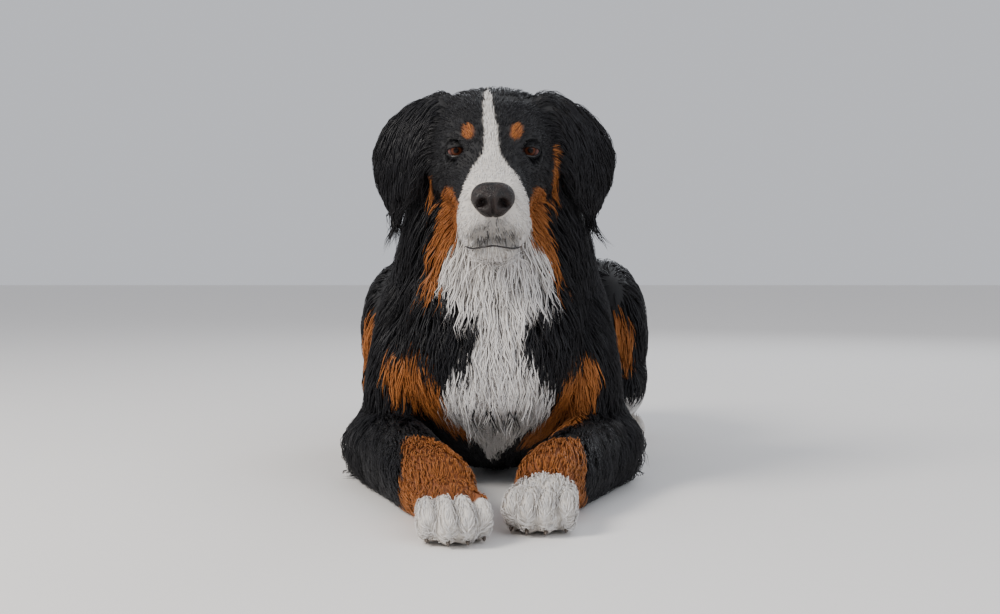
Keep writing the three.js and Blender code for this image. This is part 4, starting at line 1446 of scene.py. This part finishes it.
rim_material, *_ = new_material("lid_rim", Roughness=0.3, Base_Color=colour(0.010, 0.006, 0.005))
for side, name in ((1, "left_lid_rim"), (-1, "right_lid_rim")):
    bpy.ops.object.select_all(action="DESELECT")
    bpy.ops.mesh.primitive_torus_add(major_segments=64, minor_segments=10, major_radius=1, minor_radius=0.25)
    rim = bpy.context.object
    rim.name = name
    p = corners(rim)
    angle = np.arctan2(p[:, 1], p[:, 0])
    wide, tall = (np.hypot(p[:, 0], p[:, 1]) - 1) / 0.25, p[:, 2] / 0.25
    h = LID_HALF * np.cos(angle)
    upper, lower = lid_edges(h)
    v = np.where(np.sin(angle) > 0, upper, lower) * smooth(0, 0.12, np.abs(np.sin(angle)))
    out, along, up = eye_axes(side)
    direction = unit(np.stack([h, v, np.sqrt(np.maximum(1, EYE_RADIUS**2 - h**2 - v**2))], -1))
    outward = unit(np.stack([np.cos(angle) * LID_HALF, np.sin(angle) * 5, np.zeros_like(angle)], -1))
    spot = direction * (EYE_RADIUS + 0.7 + tall * 1.1)[:, None] + outward * (wide + 0.5)[:, None]
    spot = spot[:, :1] * along + spot[:, 1:2] * up + spot[:, 2:] * out + eye_centre(side)
    move_corners(rim, spot * MM + SHIFT)
    face_out(rim)
    bpy.ops.object.shade_smooth()
    rim.data.materials.append(rim_material)
    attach(rim, "root")
print("a rim is", 2 * LID_HALF, "mm long")

# %% [markdown]
# A dog's nose is a pad of wet leather: broad above, narrower below, with comma-shaped nostrils that run
# out into slits at the sides and a groove down the middle. A ball is pressed into this shape.

# %% Nose
PAD_DEEP = 17
PAD_TALL = 20
PAD_PLACE = (0, -121, -35.5)
pad = new_ball(128, 96)
pad.name = "nose_pad"
x, y, z = corners(pad).T
rounded = np.maximum(np.hypot(x, z), 1e-6)
squared = rounded / np.maximum((np.abs(x) ** 2.9 + np.abs(z) ** 2.9) ** (1 / 2.9), 1e-6)
x, z = x * squared, z * squared
breadth = 1 - 0.32 * smooth(0.1, -1, z) - 0.06 * smooth(0.3, 1, z)
local = np.stack([x * NOSE_WIDTH / 2 * breadth, y * PAD_DEEP, z * PAD_TALL], -1)
local[:, 1] += 3.0 * smooth(0.2, 1, z) + 1.5 * smooth(0, -1, z)
front = smooth(0.1, -0.5, y)
for side in (-1, 1):
    outwards, up = local[:, 0] * side, local[:, 2]
    hole = np.exp(-(((outwards - 11) / 5.4) ** 2) - ((up + 0.5) / 5.2) ** 2)
    along_slit = np.clip((outwards - 12) / 10, 0, 1)
    slit = np.exp(-(((up + 3 + 3.5 * along_slit) / 1.8) ** 2)) * smooth(9, 14, outwards)
    wing = np.exp(-(((outwards - 17.5) / 6) ** 2) - ((up - 3.5) / 6) ** 2)
    local[:, 1] += front * (hole * 10.5 + slit * 4.6 - wing * 2.2)
groove = np.exp(-((local[:, 0] / 1.9) ** 2)) * front * smooth(10, -2, local[:, 2])
local[:, 1] += groove * 4.0
move_corners(pad, in_head(local + PAD_PLACE) * MM + SHIFT)
bpy.ops.object.shade_smooth()
leather, shader, kit = new_material(
    "nose_leather", Roughness=0.42, Coat_Weight=0.1, Coat_Roughness=0.22, Specular_IOR_Level=0.28
)
place = kit.node("ShaderNodeTexCoord", out=3)
pebbles = kit.node("ShaderNodeTexVoronoi", None, Vector=place, Scale=620.0)
shine = kit.node("ShaderNodeTexNoise", None, Vector=place, Scale=120.0, Detail=4.0)
DARK_LEATHER = colour(0.004, 0.003, 0.003)
BROWN_LEATHER = colour(0.024, 0.015, 0.013)
feed(shader, "Base Color", shine.between(0.35, 0.7).blend(DARK_LEATHER, BROWN_LEATHER))
feed(shader, "Roughness", shine * 0.3 + 0.24)
feed(shader, "Normal", kit.node("ShaderNodeBump", None, Height=pebbles, Distance=0.0009, Strength=0.9))
pad.data.materials.append(leather)
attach(pad, "root")
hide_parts("nose")
print("the nose is", NOSE_WIDTH, "mm wide and", 2 * PAD_TALL, "mm tall")

# %% [markdown]
# The lips show as a dark line. A thin roll of skin follows the front of the mouth line, from one side to
# the other. The claws were drawn out with the toes and now become one piece.

# %% Lips and claws
lip_material, *_ = new_material("lip", Roughness=0.35, Base_Color=colour(0.012, 0.009, 0.009))
half_line = MOUTH_LINE[:4]
lip_line = [(-x, y, z) for x, y, z in half_line[:0:-1]] + half_line
stations = [(tuple(in_head((x * 0.97, y, z - 1))), 2.4, 1.0, 1.0) for x, y, z in lip_line]
lips = drawn_out(stations, caps=(4, 4), side=(0, 1, 0), square=2, segments=12, rings=120)
lips.name = "lips"
claw_material, shader, kit = new_material("claw", Roughness=0.35)
place = kit.node("ShaderNodeTexCoord", out=3)
grain = kit.node("ShaderNodeTexNoise", None, Vector=place, Scale=260.0, Detail=3.0)
feed(shader, "Base Color", grain.blend(colour(0.03, 0.022, 0.018), colour(0.10, 0.075, 0.055)))
claw_piece = joined(claws)
claw_piece.name = "claws"
for piece, material in ((lips, lip_material), (claw_piece, claw_material)):
    move_corners(piece, corners(piece) + SHIFT)
    face_out(piece)
    bpy.ops.object.shade_smooth()
    piece.data.materials.append(material)
    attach(piece, "root")
    print(piece.name, len(piece.data.polygons), "faces")

# %% [markdown]
# The floor, the light and the camera come last. A broad lamp stands at the dog's right and front, a
# weaker one fills from its left, and one behind gives the black coat an edge. The camera stands low,
# nearly two metres in front of the withers, and looks a little down.

# %% Floor, light and camera
bpy.ops.object.select_all(action="DESELECT")
bpy.ops.mesh.primitive_plane_add(size=30, location=(0, 0, 0))
floor = bpy.context.object
floor.name = "floor"
floor_material, *_ = new_material("floor", Roughness=0.85, Base_Color=colour(0.80, 0.78, 0.76))
floor.data.materials.append(floor_material)

world = bpy.data.worlds.new("studio")
bpy.context.scene.world = world
world.use_nodes = True
background = world.node_tree.nodes["Background"]
background.inputs["Color"].default_value = colour(0.92, 0.94, 1.0)
background.inputs["Strength"].default_value = 0.7


def lamp(name, place, target, size, power, tint):
    data = bpy.data.lights.new(name, "AREA")
    data.size = size
    data.energy = power
    data.color = tint
    made = bpy.data.objects.new(name, data)
    bpy.context.scene.collection.objects.link(made)
    made.location = place
    made.rotation_euler = (Vector(target) - Vector(place)).to_track_quat("-Z", "Y").to_euler()


lamp("main_lamp", (-2.2, -1.9, 2.3), (0, 0, 0.25), 1.2, 120, (1.0, 0.95, 0.88))
lamp("fill_lamp", (1.6, -2.6, 1.8), (0, 0, 0.25), 2.2, 32, (0.86, 0.92, 1.0))
lamp("edge_lamp", (1.2, 2.4, 2.0), (0, 0, 0.3), 1.6, 26, (0.9, 0.95, 1.0))

CAMERA_PLACE = np.array([8, -1940, 285])
CAMERA_DIP = 1.86
camera_data = bpy.data.cameras.new("camera")
camera_data.lens = 50
camera_data.sensor_width = 36
camera = bpy.data.objects.new("camera", camera_data)
bpy.context.scene.collection.objects.link(camera)
camera.location = Vector(CAMERA_PLACE * MM + SHIFT)
camera.rotation_euler = (math.radians(90 - CAMERA_DIP), 0, 0)
bpy.context.scene.camera = camera
print("camera at", tuple(round(v, 3) for v in camera.location))
